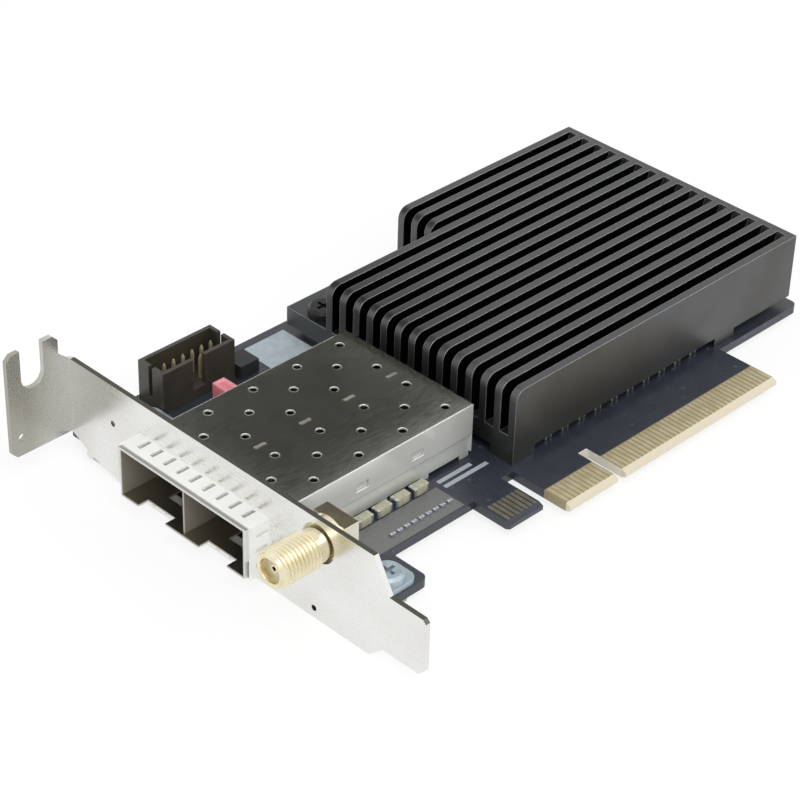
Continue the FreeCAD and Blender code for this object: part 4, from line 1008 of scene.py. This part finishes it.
@dataclass
class HeatSink:
    """The finned heat sink, its screws and what it cools."""

    back_screws_mm: tuple[Pair, ...] = ((-8.65, 15.7), (41.35, 15.7), (56.45, 63.14))
    head_mm: Pair = (-2.77, -1.57)
    head_radius_mm: float = 2.7
    shank_radius_mm: float = 1.25
    shank_end_mm: float = 4.0
    round_mm: float = 0.35
    drive_mm: Point = (2.8, 0.7, 0.8)
    sides: int = 36
    smooth_deg: float = 35.0

    def build(self) -> None:
        """Turn one back screw, cut its cross recess and copy it to the three posts."""
        low, high = self.head_mm
        bpy.ops.object.select_all(action="DESELECT")
        bpy.ops.mesh.primitive_cylinder_add(
            vertices=self.sides,
            radius=self.head_radius_mm * MM,
            depth=(high - low) * MM,
            location=metres(*self.back_screws_mm[0], (low + high) / 2),
        )
        screw = started("back_screw")
        with editing(screw, Pick.FACE):
            pick_faces(screw, lambda middle, normal: normal.z > ALONG)
            bpy.ops.mesh.inset(thickness=(self.head_radius_mm - self.shank_radius_mm) * MM)
            extrude_by(metres(0, 0, self.shank_end_mm - high))
            pick_edges(screw, lambda end: abs(end.z - low * MM) < SAME)
            bpy.ops.mesh.bevel(offset=self.round_mm * MM, segments=3)
        cross = self.build_cross()
        modify(screw, "BOOLEAN", operation="DIFFERENCE", solver="EXACT", object=cross)
        bpy.data.objects.remove(cross)
        piece = repeat("heatsink_cross_screws", screw, self.back_screws_mm)
        smooth(piece, self.smooth_deg)
        coat(piece, ZINC_SCREW)
        settle(piece, "fastener_steel", "heatsink_back_screws")

    def build_cross(self) -> Piece:
        """Make the cross that cuts the drive recess of the first screw.

        Returns:
            The cross, half of it below the head.
        """
        length, width, depth = self.drive_mm
        centre = metres(*self.back_screws_mm[0], self.head_mm[0])
        half = metres(width / 2, width / 2, depth)
        cross = add_box("drive_cross", centre - half, centre + half)
        with editing(cross, Pick.FACE):
            for way in (Vector((1, 0, 0)), Vector((-1, 0, 0)), Vector((0, 1, 0)), Vector((0, -1, 0))):
                root = centre + way * width / 2 * MM
                pick_faces(cross, lambda middle, normal, root=root: (middle - root).length < SAME)
                extrude_by(way * (length - width) / 2 * MM)
        return cross

    def dress(self) -> None:
        """Finish the sink, its screws and the chips below it."""
        dress(BLACK_ANODISED, "heatsink")
        dress(BLACK_SCREW, "heatsink_screw")
        dress(ZINC_SCREW, "heatsink_back_screws")
        dress(SUBSTRATE_LAMINATE, "processor_substrate")
        dress(NICKEL_LID, "processor_lid")
        dress(SILICONE_PAD, "thermal_pad")
        dress(CHIP_EPOXY, "flash_memory")


@dataclass
class PinHeader:
    """The shrouded header with its pins."""

    middle_mm: Pair = (-34.65, 64.15)
    pitch_mm: float = 2.0
    columns: int = 7
    rows: int = 2
    pin_mm: float = 0.5
    low_mm: float = -2.47
    high_mm: float = 6.4
    taper_mm: float = 0.6
    tip_share: float = 0.4
    round_mm: float = 0.04

    def places(self) -> list[Pair]:
        """Give the middle of each pin on the board in millimetres."""
        across = self.middle_mm[0] - (self.columns - 1) / 2 * self.pitch_mm
        up = self.middle_mm[1] - (self.rows - 1) / 2 * self.pitch_mm
        return [
            (across + column * self.pitch_mm, up + row * self.pitch_mm)
            for column in range(self.columns)
            for row in range(self.rows)
        ]

    def build(self) -> None:
        """Make one pin with its two tapered ends and copy it along both rows."""
        half = self.pin_mm / 2
        across, up = self.places()[0]
        pin = add_box(
            "header_pin",
            metres(across - half, up - half, self.low_mm + self.taper_mm),
            metres(across + half, up + half, self.high_mm - self.taper_mm),
        )
        with editing(pin, Pick.FACE):
            for way, end in ((1, self.high_mm), (-1, self.low_mm)):
                pick_faces(pin, lambda middle, normal, way=way: normal.z * way > ALONG)
                extrude_by(metres(0, 0, way * self.taper_mm))
                bpy.ops.transform.resize(
                    value=(self.tip_share, self.tip_share, 1.0), center_override=metres(across, up, end)
                )
        modify(pin, "BEVEL", width=self.round_mm * MM, segments=1)
        piece = repeat("header_tapered_pins", pin, self.places())
        coat(piece, HARD_GOLD)
        settle(piece, "gold", "header_pins")

    def dress(self) -> None:
        """Finish the housing and the plain pins."""
        dress(HEADER_POLYESTER, "header_housing")
        dress(HARD_GOLD, "header_pins")


@dataclass
class Jumper:
    """The two-pin jumper under its red shunt."""

    pins_mm: tuple[Pair, ...] = ((-34.95, 52.43), (-34.95, 54.97))
    rim_mm: float = 0.45
    well_mm: float = 0.35
    round_mm: float = 0.15
    smooth_deg: float = 40.0

    def build(self) -> None:
        """Mould the shunt: a rounded cap with a shallow dish in its top."""
        low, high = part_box("jumper_shunt")
        shunt = add_box("red_shunt", low, high)
        with editing(shunt, Pick.FACE):
            pick_faces(shunt, lambda middle, normal: normal.z > ALONG)
            bpy.ops.mesh.inset(thickness=self.rim_mm * MM)
            extrude_by(metres(0, 0, -self.well_mm))
        modify(shunt, "BEVEL", width=self.round_mm * MM, segments=3, limit_method="ANGLE")
        smooth(shunt, self.smooth_deg)
        coat(shunt, RED_POLYESTER)
        settle(shunt, "red_plastic", "jumper_shunt")

    def dress(self) -> None:
        """Finish the base, the pins and the plain shunt."""
        dress(BLACK_POLYESTER, "jumper_base")
        dress(HARD_GOLD, "jumper_pins")
        dress(RED_POLYESTER, "jumper_shunt")


@dataclass
class ChipRow:
    """A row of ceramic chips with tinned ends."""

    node: str
    count: int
    pitch_mm: float
    length_mm: float
    end_share: float
    body: Finish
    round_share: float = 0.05
    smooth_deg: float = 40.0

    def build(self) -> None:
        """Make one chip, band its ends, round it and copy it along the row."""
        low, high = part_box(self.node)
        high.x = low.x + self.length_mm * MM
        chip = add_box(f"{self.node}_chip", low, high)
        coat(chip, self.body, REFLOWED_TIN)
        end = self.length_mm * self.end_share * MM
        with editing(chip, Pick.FACE):
            for cut in (low.x + end, high.x - end):
                bpy.ops.mesh.select_all(action="SELECT")
                bpy.ops.mesh.bisect(plane_co=(cut, 0.0, 0.0), plane_no=(1.0, 0.0, 0.0))
            pick_faces(chip, lambda middle, normal: not low.x + end < middle.x < high.x - end)
            chip.active_material_index = 1
            bpy.ops.object.material_slot_assign()
        width = self.length_mm * self.round_share * MM
        modify(chip, "BEVEL", width=width, segments=2, limit_method="ANGLE")
        places_mm = [(place * self.pitch_mm, 0.0) for place in range(self.count)]
        piece = repeat(f"{self.node}_banded", chip, places_mm)
        smooth(piece, self.smooth_deg)
        settle(piece, "chip_ceramic", self.node)


@dataclass
class Studio:
    """The white floor, the soft lamps, the dark cards that some level tops reflect, and the camera."""

    floor_mm: float = -2.97
    floor_side_mm: float = 9000.0
    floor_roughness: float = 0.9
    floor_glow: float = 0.82
    white_tone: str = "#ffffff"
    world_level: float = 0.7
    lid_card_mm: Box = ((-30.0, 47.5, 40.0), (22.5, 96.0, 40.0))
    jack_card_mm: Box = ((-2.5, 50.0, 70.0), (7.0, 73.0, 70.0))
    card_tone: str = "#5e5e59"
    eye_mm: Point = (-256.92, -200.57, 236.32)
    heading_deg: float = 44.197
    elevation_deg: float = 34.595
    roll_deg: float = 1.7285
    lens_mm: float = 114.58
    sensor_mm: float = 36.0
    near_mm: float = 10.0

    def build(self) -> None:
        """Set up the view, the floor, the cards, the world and the lamps."""
        bpy.context.scene.view_settings.view_transform = "Standard"
        self.build_floor()
        for corners in (self.lid_card_mm, self.jack_card_mm):
            self.build_card(*(metres(*corner) for corner in corners))
        self.build_world()
        for lamp in Lamp:
            self.build_lamp(lamp)
        self.build_camera()

    def seen(self, tree: Tree) -> Socket:
        """Mark what the eye, a reflection or clear stuff sees, and not what only takes the light.

        Args:
            tree: Node tree of the floor or the world.

        Returns:
            One on such rays, nought on others.
        """
        either = {"operation": "ADD", "use_clamp": True}
        share = add_node(tree, "LightPath", output="Is Camera Ray")
        for kind in ("Is Glossy Ray", "Is Transmission Ray"):
            ray = add_node(tree, "LightPath", output=kind)
            share = add_node(tree, "Math", either, {0: share, 1: ray})
        return share

    def build_floor(self) -> None:
        """Lay the white floor; what the eye and the metal see of it glows, under the card's soft shadow."""
        bpy.ops.object.select_all(action="DESELECT")
        bpy.ops.mesh.primitive_plane_add(size=self.floor_side_mm * MM, location=metres(0, 0, self.floor_mm))
        floor = started("studio_floor")
        material = bpy.data.materials.new("white_paper_floor")
        material.use_nodes = True
        tree = material.node_tree
        paper = tree.nodes["Principled BSDF"]
        paper.inputs["Base Color"].default_value = linear(self.white_tone)
        paper.inputs["Roughness"].default_value = self.floor_roughness
        part = {"operation": "MULTIPLY", 1: self.floor_glow}
        share = add_node(tree, "Math", part, {0: self.seen(tree)})
        glow = add_node(tree, "Emission", {"Strength": 1.0})
        blend = add_node(tree, "MixShader", links={0: share, 1: paper.outputs[0], 2: glow})
        tree.links.new(blend, tree.nodes["Material Output"].inputs["Surface"])
        floor.data.materials.append(material)

    def build_card(self, low: Vector, high: Vector) -> None:
        """Hang a level dark card that one level top reflects; only reflections see it.

        Args:
            low: Its lowest corner in metres.
            high: Its highest corner in metres.
        """
        bpy.ops.object.select_all(action="DESELECT")
        bpy.ops.mesh.primitive_plane_add(size=1.0, location=(low + high) / 2)
        bpy.context.object.scale = high - low
        card = started("studio_card")
        card.visible_camera = card.visible_diffuse = card.visible_shadow = False
        material = bpy.data.materials.new("grey_card")
        material.use_nodes = True
        tree = material.node_tree
        glow = add_node(tree, "Emission", {"Color": linear(self.card_tone), "Strength": 1.0})
        tree.links.new(glow, tree.nodes["Material Output"].inputs["Surface"])
        card.data.materials.append(material)

    def build_world(self) -> None:
        """Make the world white to the eye and to reflections, and a plain soft light to all else."""
        world = bpy.data.worlds.new("white_studio")
        world.use_nodes = True
        bpy.context.scene.world = world
        tree = world.node_tree
        light = tree.nodes["Background"]
        light.inputs["Color"].default_value = linear(self.white_tone)
        light.inputs["Strength"].default_value = self.world_level
        white = add_node(tree, "Background", {"Color": linear(self.white_tone), "Strength": 1.0})
        blend = add_node(tree, "MixShader", links={0: self.seen(tree), 1: light.outputs[0], 2: white})
        tree.links.new(blend, tree.nodes["World Output"].inputs["Surface"])

    def build_lamp(self, lamp: Lamp) -> None:
        """Hang a square soft lamp that faces the card.

        Args:
            lamp: Which lamp it is.
        """
        name, place_mm, side_mm, watts = lamp.value
        light = bpy.data.lights.new(name, "AREA")
        light.energy = watts
        light.size = side_mm * MM
        piece = bpy.data.objects.new(name, light)
        piece.location = metres(*place_mm)
        piece.rotation_euler = piece.location.to_track_quat("Z", "Y").to_euler()
        bpy.context.scene.collection.objects.link(piece)

    def build_camera(self) -> None:
        """Stand the camera where the photograph was taken from."""
        angles = (self.heading_deg, self.elevation_deg, self.roll_deg)
        heading, rise, roll = map(math.radians, angles)
        level = Vector((math.sin(heading), -math.cos(heading), 0.0))
        upright = Vector(
            (math.cos(heading) * math.sin(rise), math.sin(heading) * math.sin(rise), math.cos(rise))
        )
        right = level * math.cos(roll) + upright * math.sin(roll)
        up = upright * math.cos(roll) - level * math.sin(roll)
        camera = bpy.data.cameras.new("photo_camera")
        camera.sensor_width = self.sensor_mm
        camera.lens = self.lens_mm
        camera.clip_start = self.near_mm * MM
        piece = bpy.data.objects.new("photo_camera", camera)
        turn = Matrix((right, up, right.cross(up))).transposed()
        piece.matrix_world = Matrix.Translation(metres(*self.eye_mm)) @ turn.to_4x4()
        bpy.context.scene.collection.objects.link(piece)
        bpy.context.scene.camera = piece


def main() -> None:
    """Build and dress every sub-assembly, then the studio."""
    logging.basicConfig(level=logging.INFO, format="%(name)s %(message)s")
    header, jumper = PinHeader(), Jumper()
    board = CircuitBoard(header.places() + list(jumper.pins_mm))
    built = (board, PortCage(), CoaxJack(), HeatSink(), header, jumper)
    for assembly in (Bracket(), *built):
        assembly.dress()
    dress(PRESSED_IRON, "power_inductor")
    for assembly in built:
        assembly.build()
    for row in (
        ChipRow("board_edge_capacitors", 9, pitch_mm=1.55, length_mm=1.0, end_share=0.25, body=GREY_CERAMIC),
        ChipRow("cage_side_capacitors", 4, pitch_mm=4.0, length_mm=3.2, end_share=0.16, body=CREAM_CERAMIC),
        ChipRow(
            "heatsink_side_capacitors", 10, pitch_mm=4.0, length_mm=1.6, end_share=0.2, body=SHADED_CERAMIC
        ),
    ):
        dress(row.body, row.node)
        row.build()
    Studio().build()


if __name__ == "__main__":
    main()
